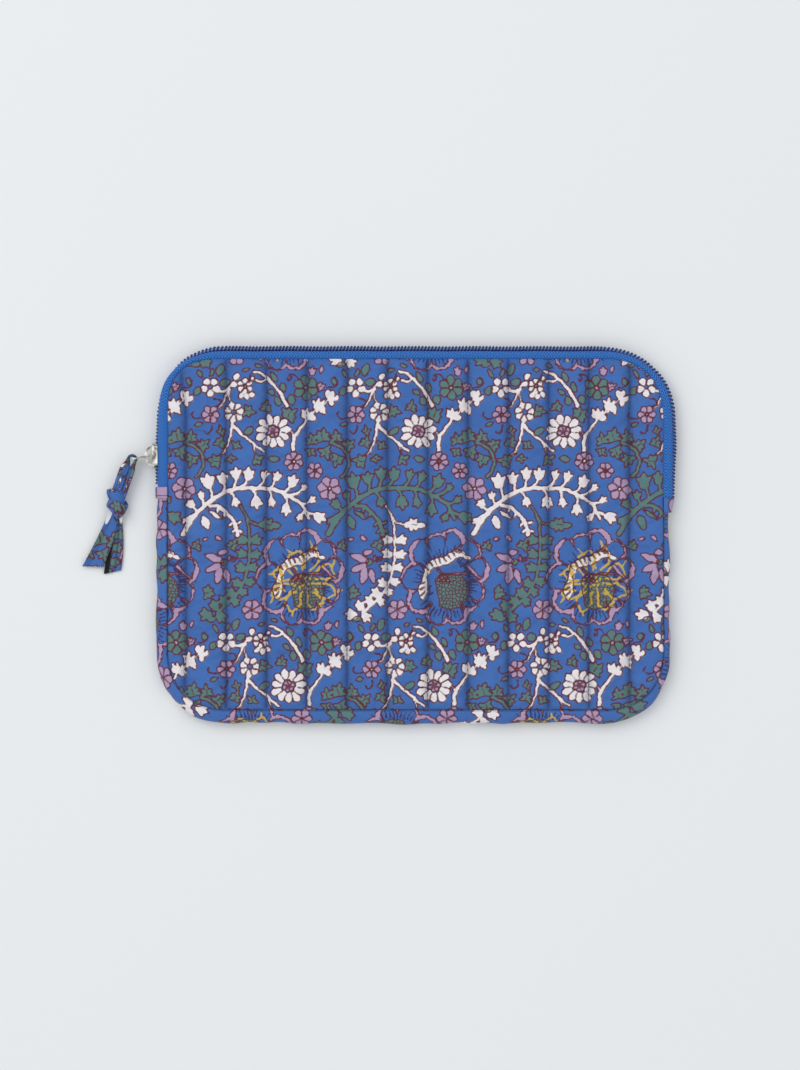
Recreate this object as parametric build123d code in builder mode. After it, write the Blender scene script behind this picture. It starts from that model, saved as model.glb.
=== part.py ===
"""A quilted cotton laptop sleeve, closed by a zip that runs over its top edge.

All sizes are in millimetres. The sleeve lies on its back: X runs across it, Y runs from
its bottom to its zipped top edge, and Z runs up through its thickness. The origin is the
centre of the back face, on the surface the sleeve rests on.

Two places are written the same way throughout. A strip round the edge is drawn by its
distance outward from the panels' outline, and its height. The slider stands on the left
side, where outward is -X.
"""
import os
from math import cos, radians, sin

from build123d import *

# Panels: the seam-to-seam outline that the front and the back share.
PANEL_WIDTH = 316.0
PANEL_HEIGHT = 224.0
CORNER_RADIUS = 38.0
SIDE_X = PANEL_WIDTH / 2
TOP_Y = PANEL_HEIGHT / 2

# Layers of one panel, and the room between the two panels.
COVER = 0.8
WADDING = 1.8
LINING = 0.6
CAVITY = 7.2
BACK_WADDING_Z = COVER
BACK_LINING_Z = BACK_WADDING_Z + WADDING
CAVITY_Z = BACK_LINING_Z + LINING
FRONT_LINING_Z = CAVITY_Z + CAVITY
FRONT_WADDING_Z = FRONT_LINING_Z + LINING
FRONT_COVER_Z = FRONT_WADDING_Z + WADDING
THICKNESS = FRONT_COVER_Z + COVER
MID_Z = THICKNESS / 2

# Quilting: one row of stitches every inch or so, up the sleeve.
QUILT_ROWS = 12
QUILT_PITCH = 25.6
FIRST_QUILT_X = -146.0
GROOVE_WIDTH = 1.4
GROOVE_DEPTH = 0.5
THREAD_WIDTH = 0.5
THREAD_HEIGHT = 0.3
ROW_END_INSET = 1.5

# The mouth: the front panel folds back along this line once the zip is undone.
FOLD_Y = 72.0
FOLD_GAP = 0.3

# Zip: where it ends on each side, its tape and its coil.
ZIP_END_LEFT_Y = 30.0
ZIP_END_RIGHT_Y = 23.0
TAPE = 0.6
TAPE_SHOULDER = (2.6, 12.8)
TAPE_OUT = 5.4
TAPE_BEND_Z = 10.9
COIL_SIZE = 2.4
COIL_CORNER = 0.9
COIL_HALF_GAP = 0.8

# Gusset: the strip of cotton round the bottom and the lower sides, and the folded tabs
# that cover the two ends of the zip.
GUSSET_CENTRE_OUT = 0.6
GUSSET_RADIUS = 6.2
TAB_LEFT_LENGTH = 7.0
TAB_RIGHT_LENGTH = 9.0
TAB_RADIUS = 6.9
TAB = 1.6

# Binding over the raw edges of the seams, inside the sleeve.
BINDING_WIDTH = 4.0
BINDING = 1.2
BINDING_INSET = 0.3

# Slider: two plates joined by a divider, with a bridge that holds the pull.
SLIDER_Y = 49.8
SLIDER_LENGTH = 15.6
OUTER_PLATE_OUT = 8.1
OUTER_PLATE = 1.3
OUTER_PLATE_WIDTH = 10.0
FLANGE_IN_OUT = 6.0
FLANGE = 1.5
INNER_PLATE_OUT = 3.2
INNER_PLATE = 1.3
INNER_PLATE_WIDTH = 6.0
DIVIDER = 1.0
DIVIDER_LENGTH = 3.0
DIVIDER_END_INSET = 0.8
BRIDGE_HEIGHT = 5.1
BRIDGE_HALF_LENGTH = 6.6
BRIDGE = 1.2
BRIDGE_WIDTH = 2.4

# Pull: a flat tab on the slider's bridge, standing on edge.
PULL_PIVOT = (-170.2, 49.9)
PULL_ANGLE = 192.0
PULL_LENGTH = 11.3
PULL_WIDTH = 6.4
PULL = 1.0
PIVOT_BAR = 1.2
PULL_WINDOW = (0.6, 4.8, 3.4)
STRIP_SLOT = (6.6, 9.9, 4.6)
STRIP_BAR_REACH = 10.6

# Strip of cotton knotted through the pull.
STRIP_BEND_RADIUS = 1.25
STRIP = 1.2
STRIP_WIDTH = 4.0
LOOP_ANGLE = 250.6
LOOP_LENGTH = 25.0
LOOP_HALF_WIDTH = 5.0
SPREAD_LENGTH = 5.0
SPREAD_HALF_WIDTH = 4.6
LEG_GAP = 0.4
KNOT_CENTRE = (-190.2, 20.5)
KNOT_LENGTH = 16.4
KNOT_DIAMETER = 11.6
KNOT_CORNER = 4.8
KNOT_Z = 6.0
TAIL_LEFT = 3.0
TAIL_RIGHT = 2.4


def panel_face(inset=0.0):
    """The panels' outline, pulled in by inset, added to the open sketch."""
    RectangleRounded(
        PANEL_WIDTH - 2 * inset, PANEL_HEIGHT - 2 * inset, CORNER_RADIUS - inset
    )


def keep_between(low_y, high_y):
    """Keep what the open sketch has between two heights up the sleeve."""
    with Locations((0, (low_y + high_y) / 2)):
        Rectangle(2 * SIDE_X, high_y - low_y, mode=Mode.INTERSECT)


def keep_shell():
    """Keep the part of a front layer that stays with the shell."""
    keep_between(-TOP_Y, FOLD_Y - FOLD_GAP / 2)


def keep_flap():
    """Keep the part of a front layer that lifts with the mouth."""
    keep_between(FOLD_Y + FOLD_GAP / 2, TOP_Y)


def quilt_rows(width):
    """Straight rows, each of the given width, within the panels' outline."""
    for row in range(QUILT_ROWS):
        with Locations((FIRST_QUILT_X + row * QUILT_PITCH, 0)):
            Rectangle(width, PANEL_HEIGHT)
    RectangleRounded(
        PANEL_WIDTH - 2 * ROW_END_INSET,
        PANEL_HEIGHT - 2 * ROW_END_INSET,
        CORNER_RADIUS - ROW_END_INSET,
        mode=Mode.INTERSECT,
    )


def binding_ring():
    """The seam binding's outline, a ring just inside the panels' edge."""
    panel_face(BINDING_INSET)
    inner = BINDING_INSET + BINDING_WIDTH
    RectangleRounded(
        PANEL_WIDTH - 2 * inner,
        PANEL_HEIGHT - 2 * inner,
        CORNER_RADIUS - inner,
        mode=Mode.SUBTRACT,
    )


def edge_plane(side, y):
    """A plane across the edge strip at height y: x is outward, y is up."""
    return Plane(origin=(side * SIDE_X, y, 0), x_dir=(side, 0, 0), z_dir=(0, -side, 0))


def upper_edge(left_y, right_y):
    """The panels' outline from the left side, over the top, to the right side."""
    FilletPolyline(
        (-SIDE_X, left_y), (-SIDE_X, TOP_Y), (SIDE_X, TOP_Y), (SIDE_X, right_y),
        radius=CORNER_RADIUS,
    )


def lower_edge(left_y, right_y):
    """The panels' outline from the left side, along the bottom, to the right side."""
    FilletPolyline(
        (-SIDE_X, left_y), (-SIDE_X, -TOP_Y), (SIDE_X, -TOP_Y), (SIDE_X, right_y),
        radius=CORNER_RADIUS,
    )


def tape_section(facing):
    """One half of the zip tape. facing is 1 for the front half and -1 for the back."""
    shoulder_out, shoulder_z = TAPE_SHOULDER
    points = [
        (0, shoulder_z + 0.2),
        (shoulder_out, shoulder_z),
        (TAPE_OUT, TAPE_BEND_Z),
        (TAPE_OUT, MID_Z + COIL_HALF_GAP),
        (TAPE_OUT - TAPE, MID_Z + COIL_HALF_GAP),
        (TAPE_OUT - TAPE, TAPE_BEND_Z - TAPE / 2),
        (shoulder_out - 0.2, shoulder_z - TAPE),
        (0, shoulder_z + 0.2 - TAPE),
    ]
    Polygon(*[(out, MID_Z + facing * (z - MID_Z)) for out, z in points], align=None)


def coil_section(facing):
    """One half of the zip's coil, on the outer face of its tape."""
    middle_z = MID_Z + facing * (COIL_HALF_GAP + COIL_SIZE / 2)
    with Locations((TAPE_OUT + COIL_SIZE / 2, middle_z)):
        RectangleRounded(COIL_SIZE, COIL_SIZE, COIL_CORNER)


def bulged_section(outer_radius, thickness):
    """A strip that bulges outward from the back seam to the front seam."""
    with Locations((GUSSET_CENTRE_OUT, MID_Z)):
        Circle(outer_radius)
        Circle(outer_radius - thickness, mode=Mode.SUBTRACT)
    with Locations((outer_radius, MID_Z)):
        Rectangle(2 * outer_radius, THICKNESS, mode=Mode.INTERSECT)


# ---- Back panel ---------------------------------------------------------------------

with BuildPart() as back_cover:
    with BuildSketch():
        panel_face()
    extrude(amount=COVER)
    with BuildSketch():
        quilt_rows(GROOVE_WIDTH)
    extrude(amount=GROOVE_DEPTH, mode=Mode.SUBTRACT)

with BuildPart() as back_quilt_stitching:
    with BuildSketch(Plane.XY.offset(GROOVE_DEPTH - THREAD_HEIGHT)):
        quilt_rows(THREAD_WIDTH)
    extrude(amount=THREAD_HEIGHT)

with BuildPart() as back_wadding:
    with BuildSketch(Plane.XY.offset(BACK_WADDING_Z)):
        panel_face()
    extrude(amount=WADDING)

with BuildPart() as back_lining:
    with BuildSketch(Plane.XY.offset(BACK_LINING_Z)):
        panel_face()
    extrude(amount=LINING)

with BuildPart() as back_seam_binding:
    with BuildSketch(Plane.XY.offset(CAVITY_Z)):
        binding_ring()
    extrude(amount=BINDING)

# ---- Front panel, below the fold ----------------------------------------------------

with BuildPart() as front_cover_lower:
    with BuildSketch(Plane.XY.offset(FRONT_COVER_Z)):
        panel_face()
        keep_shell()
    extrude(amount=COVER)
    with BuildSketch(Plane.XY.offset(THICKNESS)):
        quilt_rows(GROOVE_WIDTH)
    extrude(amount=-GROOVE_DEPTH, mode=Mode.SUBTRACT)

with BuildPart() as front_quilt_stitching_lower:
    with BuildSketch(Plane.XY.offset(THICKNESS - GROOVE_DEPTH)):
        quilt_rows(THREAD_WIDTH)
        keep_shell()
    extrude(amount=THREAD_HEIGHT)

with BuildPart() as front_wadding_lower:
    with BuildSketch(Plane.XY.offset(FRONT_WADDING_Z)):
        panel_face()
        keep_shell()
    extrude(amount=WADDING)

with BuildPart() as front_lining_lower:
    with BuildSketch(Plane.XY.offset(FRONT_LINING_Z)):
        panel_face()
        keep_shell()
    extrude(amount=LINING)

with BuildPart() as front_seam_binding_lower:
    with BuildSketch(Plane.XY.offset(FRONT_LINING_Z - BINDING)):
        binding_ring()
        keep_shell()
    extrude(amount=BINDING)

# ---- Front panel, above the fold ----------------------------------------------------

with BuildPart() as front_cover_upper:
    with BuildSketch(Plane.XY.offset(FRONT_COVER_Z)):
        panel_face()
        keep_flap()
    extrude(amount=COVER)
    with BuildSketch(Plane.XY.offset(THICKNESS)):
        quilt_rows(GROOVE_WIDTH)
    extrude(amount=-GROOVE_DEPTH, mode=Mode.SUBTRACT)

with BuildPart() as front_quilt_stitching_upper:
    with BuildSketch(Plane.XY.offset(THICKNESS - GROOVE_DEPTH)):
        quilt_rows(THREAD_WIDTH)
        keep_flap()
    extrude(amount=THREAD_HEIGHT)

with BuildPart() as front_wadding_upper:
    with BuildSketch(Plane.XY.offset(FRONT_WADDING_Z)):
        panel_face()
        keep_flap()
    extrude(amount=WADDING)

with BuildPart() as front_lining_upper:
    with BuildSketch(Plane.XY.offset(FRONT_LINING_Z)):
        panel_face()
        keep_flap()
    extrude(amount=LINING)

with BuildPart() as front_seam_binding_upper:
    with BuildSketch(Plane.XY.offset(FRONT_LINING_Z - BINDING)):
        binding_ring()
        keep_flap()
    extrude(amount=BINDING)

# ---- Gusset and the tabs over the zip's ends ----------------------------------------

GUSSET_LEFT_Y = ZIP_END_LEFT_Y - TAB_LEFT_LENGTH
GUSSET_RIGHT_Y = ZIP_END_RIGHT_Y - TAB_RIGHT_LENGTH

with BuildPart() as gusset_strip:
    with BuildLine():
        lower_edge(GUSSET_LEFT_Y, GUSSET_RIGHT_Y)
    with BuildSketch(edge_plane(-1, GUSSET_LEFT_Y)):
        bulged_section(GUSSET_RADIUS, COVER)
    sweep()

with BuildPart() as gusset_lining:
    with BuildLine():
        lower_edge(GUSSET_LEFT_Y, GUSSET_RIGHT_Y)
    with BuildSketch(edge_plane(-1, GUSSET_LEFT_Y)):
        bulged_section(GUSSET_RADIUS - COVER, LINING)
    sweep()

with BuildPart() as zip_end_tab_left:
    with BuildSketch(edge_plane(-1, ZIP_END_LEFT_Y)):
        bulged_section(TAB_RADIUS, TAB)
    extrude(amount=-TAB_LEFT_LENGTH)

with BuildPart() as zip_end_tab_right:
    with BuildSketch(edge_plane(1, ZIP_END_RIGHT_Y)):
        bulged_section(TAB_RADIUS, TAB)
    extrude(amount=TAB_RIGHT_LENGTH)

# ---- Zip ----------------------------------------------------------------------------

LEG_TOP_Y = FOLD_Y - FOLD_GAP / 2
FLAP_FOOT_Y = FOLD_Y + FOLD_GAP / 2

with BuildPart() as zip_tape_back:
    with BuildLine():
        upper_edge(ZIP_END_LEFT_Y, ZIP_END_RIGHT_Y)
    with BuildSketch(edge_plane(-1, ZIP_END_LEFT_Y)):
        tape_section(-1)
    sweep()

with BuildPart() as zip_coil_back:
    with BuildLine():
        upper_edge(ZIP_END_LEFT_Y, ZIP_END_RIGHT_Y)
    with BuildSketch(edge_plane(-1, ZIP_END_LEFT_Y)):
        coil_section(-1)
    sweep()

with BuildPart() as zip_tape_front_upper:
    with BuildLine():
        upper_edge(FLAP_FOOT_Y, FLAP_FOOT_Y)
    with BuildSketch(edge_plane(-1, FLAP_FOOT_Y)):
        tape_section(1)
    sweep()

with BuildPart() as zip_coil_front_upper:
    with BuildLine():
        upper_edge(FLAP_FOOT_Y, FLAP_FOOT_Y)
    with BuildSketch(edge_plane(-1, FLAP_FOOT_Y)):
        coil_section(1)
    sweep()

with BuildPart() as zip_tape_front_legs:
    with BuildSketch(edge_plane(-1, ZIP_END_LEFT_Y)):
        tape_section(1)
    extrude(amount=LEG_TOP_Y - ZIP_END_LEFT_Y)
    with BuildSketch(edge_plane(1, ZIP_END_RIGHT_Y)):
        tape_section(1)
    extrude(amount=ZIP_END_RIGHT_Y - LEG_TOP_Y)

with BuildPart() as zip_coil_front_legs:
    with BuildSketch(edge_plane(-1, ZIP_END_LEFT_Y)):
        coil_section(1)
    extrude(amount=LEG_TOP_Y - ZIP_END_LEFT_Y)
    with BuildSketch(edge_plane(1, ZIP_END_RIGHT_Y)):
        coil_section(1)
    extrude(amount=ZIP_END_RIGHT_Y - LEG_TOP_Y)

# ---- Slider -------------------------------------------------------------------------


def slider_plane(out):
    """A plane flat against the chain on the left side: x is up the sleeve."""
    return Plane(origin=(-SIDE_X - out, SLIDER_Y, MID_Z), x_dir=(0, 1, 0), z_dir=(-1, 0, 0))


with BuildPart() as slider_body:
    # The inner plate, a plain tongue behind the chain.
    with BuildSketch(slider_plane(INNER_PLATE_OUT)):
        RectangleRounded(SLIDER_LENGTH, INNER_PLATE_WIDTH, INNER_PLATE_WIDTH / 3)
    extrude(amount=INNER_PLATE)
    # The outer plate, widest at its shoulders and narrower at the closing end.
    with BuildSketch(slider_plane(OUTER_PLATE_OUT)):
        with BuildLine():
            half_length = SLIDER_LENGTH / 2
            half_width = OUTER_PLATE_WIDTH / 2
            Polyline(
                (-half_length, half_width),
                (0, half_width),
                (half_length, half_width - FLANGE / 2),
                (half_length, FLANGE / 2 - half_width),
                (0, -half_width),
                (-half_length, -half_width),
                close=True,
            )
        make_face()
        fillet(vertices().filter_by(lambda corner: abs(corner.Y - SLIDER_Y) > 1), 1.2)
    extrude(amount=OUTER_PLATE)
    # The flanges that hold the coils in from both sides.
    with BuildSketch(slider_plane(FLANGE_IN_OUT)):
        flange_offset = OUTER_PLATE_WIDTH / 2 - FLANGE / 2
        with Locations((0, flange_offset), (0, -flange_offset)):
            Rectangle(SLIDER_LENGTH * 0.8, FLANGE)
    extrude(amount=OUTER_PLATE_OUT - FLANGE_IN_OUT)
    # The divider between the two coils, at the opening end.
    with BuildSketch(slider_plane(INNER_PLATE_OUT + INNER_PLATE)):
        with Locations((DIVIDER_END_INSET + DIVIDER_LENGTH / 2 - half_length, 0)):
            Rectangle(DIVIDER_LENGTH, DIVIDER)
    extrude(amount=OUTER_PLATE_OUT - INNER_PLATE_OUT - INNER_PLATE)
    # The bridge over the outer plate.
    plate_face = -SIDE_X - OUTER_PLATE_OUT - OUTER_PLATE
    with BuildSketch(Plane.XY.offset(MID_Z)):
        with Locations((plate_face, SLIDER_Y)):
            Ellipse(BRIDGE_HEIGHT, BRIDGE_HALF_LENGTH)
            Ellipse(BRIDGE_HEIGHT - BRIDGE, BRIDGE_HALF_LENGTH - BRIDGE, mode=Mode.SUBTRACT)
        with Locations((plate_face - BRIDGE_HEIGHT + OUTER_PLATE / 2, SLIDER_Y)):
            Rectangle(2 * BRIDGE_HEIGHT, SLIDER_LENGTH, mode=Mode.INTERSECT)
    extrude(amount=BRIDGE_WIDTH / 2, both=True)

# ---- Pull ---------------------------------------------------------------------------

pull_along = Vector(cos(radians(PULL_ANGLE)), sin(radians(PULL_ANGLE)), 0)
pull_across = Vector(-pull_along.Y, pull_along.X, 0)

with BuildPart() as pull_tab:
    with BuildSketch(Plane(origin=(*PULL_PIVOT, MID_Z), x_dir=pull_along, z_dir=pull_across)):
        with Locations((PULL_LENGTH / 2 - PIVOT_BAR / 4, 0)):
            RectangleRounded(PULL_LENGTH + PIVOT_BAR / 2, PULL_WIDTH, PIVOT_BAR / 2)
        for low, high, width in (PULL_WINDOW, STRIP_SLOT):
            with Locations(((low + high) / 2, 0)):
                Rectangle(high - low, width, mode=Mode.SUBTRACT)
    extrude(amount=PULL / 2, both=True)

# ---- Strip of cotton knotted through the pull ---------------------------------------

strip_bar = Vector(*PULL_PIVOT, MID_Z) + pull_along * STRIP_BAR_REACH
loop_along = Vector(cos(radians(LOOP_ANGLE)), sin(radians(LOOP_ANGLE)), 0)

with BuildPart() as pull_strip:
    # The bend round the pull's end bar, and the two legs from it down to the knot.
    bend_outer = STRIP_BEND_RADIUS + STRIP
    with BuildSketch(Plane(origin=strip_bar, x_dir=loop_along)):
        Circle(bend_outer)
        with Locations((bend_outer, 0)):
            Rectangle(2 * bend_outer, 2 * bend_outer, mode=Mode.SUBTRACT)
        for side in (-1, 1):
            with BuildLine():
                Polyline(
                    (0, side * STRIP_BEND_RADIUS),
                    (0, side * bend_outer),
                    (SPREAD_LENGTH, side * SPREAD_HALF_WIDTH),
                    (LOOP_LENGTH, side * LOOP_HALF_WIDTH),
                    (LOOP_LENGTH, side * LEG_GAP / 2),
                    (SPREAD_LENGTH, side * STRIP_BEND_RADIUS / 2),
                    close=True,
                )
            make_face()
        Circle(STRIP_BEND_RADIUS, mode=Mode.SUBTRACT)
    extrude(amount=STRIP_WIDTH / 2, both=True)
    # The knot.
    knot_plane = Plane(
        origin=(*KNOT_CENTRE, KNOT_Z), x_dir=loop_along, z_dir=(0, 0, 1)
    )
    with BuildSketch(knot_plane):
        RectangleRounded(KNOT_LENGTH, KNOT_DIAMETER, KNOT_CORNER)
        with Locations((0, -KNOT_DIAMETER / 2)):
            Rectangle(2 * KNOT_LENGTH, KNOT_DIAMETER, mode=Mode.SUBTRACT)
    revolve(axis=Axis(knot_plane.origin, loop_along))
    # The two flared tails, flat on the table.
    with BuildSketch():
        with BuildLine():
            Polyline(
                (-193.5, 21.0), (-201.8, 0.8), (-213.0, -20.5), (-198.8, -20.4),
                (-193.0, -6.7), (-190.0, 12.3), (-189.5, 19.0), close=True,
            )
        make_face()
    extrude(amount=TAIL_LEFT)
    with BuildSketch():
        with BuildLine():
            Polyline(
                (-191.0, 20.0), (-198.0, -16.5), (-199.2, -25.6), (-188.4, -22.7),
                (-186.8, -10.9), (-187.1, 0.9), (-188.5, 18.0), close=True,
            )
        make_face()
    extrude(amount=TAIL_RIGHT)

# ---- Output -------------------------------------------------------------------------

pieces = {
    "back_cover": back_cover,
    "back_quilt_stitching": back_quilt_stitching,
    "back_wadding": back_wadding,
    "back_lining": back_lining,
    "back_seam_binding": back_seam_binding,
    "front_cover_lower": front_cover_lower,
    "front_quilt_stitching_lower": front_quilt_stitching_lower,
    "front_wadding_lower": front_wadding_lower,
    "front_lining_lower": front_lining_lower,
    "front_seam_binding_lower": front_seam_binding_lower,
    "front_cover_upper": front_cover_upper,
    "front_quilt_stitching_upper": front_quilt_stitching_upper,
    "front_wadding_upper": front_wadding_upper,
    "front_lining_upper": front_lining_upper,
    "front_seam_binding_upper": front_seam_binding_upper,
    "gusset_strip": gusset_strip,
    "gusset_lining": gusset_lining,
    "zip_end_tab_left": zip_end_tab_left,
    "zip_end_tab_right": zip_end_tab_right,
    "zip_tape_back": zip_tape_back,
    "zip_coil_back": zip_coil_back,
    "zip_tape_front_upper": zip_tape_front_upper,
    "zip_coil_front_upper": zip_coil_front_upper,
    "zip_tape_front_legs": zip_tape_front_legs,
    "zip_coil_front_legs": zip_coil_front_legs,
    "slider_body": slider_body,
    "pull_tab": pull_tab,
    "pull_strip": pull_strip,
}
os.makedirs("parts", exist_ok=True)
for name, piece in pieces.items():
    piece.part.label = name
    export_step(piece.part, f"parts/{name}.step")
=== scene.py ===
"""Looks for a quilted cotton laptop sleeve with a zip over its top edge.

Lengths in this file are in millimetres, and become metres where a mesh is made. A place on
the strip round the edge is (s, n, z): s runs along the panels' outline, anticlockwise from
the middle of the left side, n is the distance outward from that outline, and z is up.
"""

import math
from itertools import product

import bmesh
import bpy
import numpy as np
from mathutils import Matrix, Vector


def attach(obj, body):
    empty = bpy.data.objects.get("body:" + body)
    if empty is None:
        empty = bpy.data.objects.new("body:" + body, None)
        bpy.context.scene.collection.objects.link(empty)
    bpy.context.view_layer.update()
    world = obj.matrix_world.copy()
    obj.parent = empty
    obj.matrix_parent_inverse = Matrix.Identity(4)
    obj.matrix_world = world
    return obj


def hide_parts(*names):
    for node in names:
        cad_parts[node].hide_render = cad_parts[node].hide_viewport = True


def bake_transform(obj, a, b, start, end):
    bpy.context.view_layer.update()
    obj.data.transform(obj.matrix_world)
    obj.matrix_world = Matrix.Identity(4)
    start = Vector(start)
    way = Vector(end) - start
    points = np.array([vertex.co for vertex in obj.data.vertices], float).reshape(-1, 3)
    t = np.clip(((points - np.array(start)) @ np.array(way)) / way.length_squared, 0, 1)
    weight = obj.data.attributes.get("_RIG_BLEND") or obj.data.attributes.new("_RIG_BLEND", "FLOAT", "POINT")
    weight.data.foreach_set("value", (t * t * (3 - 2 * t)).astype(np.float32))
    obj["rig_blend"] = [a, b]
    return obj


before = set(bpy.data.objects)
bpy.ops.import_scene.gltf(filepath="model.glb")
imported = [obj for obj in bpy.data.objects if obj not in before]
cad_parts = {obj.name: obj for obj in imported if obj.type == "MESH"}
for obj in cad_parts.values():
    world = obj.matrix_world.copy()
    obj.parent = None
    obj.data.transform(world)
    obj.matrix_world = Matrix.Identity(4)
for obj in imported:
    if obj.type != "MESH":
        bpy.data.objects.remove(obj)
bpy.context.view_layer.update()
MM = 0.001

# ---- Camera -------------------------------------------------------------------------

CAMERA_HEIGHT = 1.6
FRAME_LONG_SIDE = 0.6848
camera = bpy.data.objects.new("camera", bpy.data.cameras.new("camera"))
bpy.context.scene.collection.objects.link(camera)
camera.location = (-0.0099, -0.0006, CAMERA_HEIGHT)
camera.data.sensor_fit = "AUTO"
camera.data.sensor_width = 36.0
camera.data.lens = 36.0 * CAMERA_HEIGHT / FRAME_LONG_SIDE
camera.data.clip_end = 20.0
bpy.context.scene.camera = camera

# ---- The print ----------------------------------------------------------------------
#
# One block repeat of the print, drawn in millimetres with the middle of a large flower at
# (0, 0). Each layer is kept as a signed distance, negative inside a shape, on a fine grid
# over one repeat, and read from there at the vertices of every printed piece. The repeat
# has two halves side by side: the same drawing, with the fern and the vine in swapped
# colours. Each row of repeats stands a little to the right of the row above.

HALF_WIDTH = 92.2
REPEAT_WIDTH = 2 * HALF_WIDTH
REPEAT_HEIGHT = 161.6
ROW_SHIFT = 9.9
GRID_STEP = 0.4
GRID_ORIGIN = (-90.0, -32.0)
FAR = 2.6
CURVE_STEPS = 5


def smooth_path(points):
    """Points closer together along a smooth curve through the given ones."""
    p = np.array(points, float)
    ends = np.vstack([2 * p[0] - p[1], p, 2 * p[-1] - p[-2]])
    t = np.linspace(0, 1, CURVE_STEPS, endpoint=False)[:, None]
    spans = []
    for a, b, c, d in zip(ends, ends[1:], ends[2:], ends[3:]):
        spans.append(0.5 * (2 * b + (c - a) * t + (2 * a - 5 * b + 4 * c - d) * t**2
                            + (3 * b - a - 3 * c + d) * t**3))
    return np.vstack([*spans, p[-1:]])


def polar(x, y, reach, degrees):
    """The point at a distance and in a direction from (x, y)."""
    a = math.radians(degrees)
    return x + reach * math.cos(a), y + reach * math.sin(a)


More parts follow.
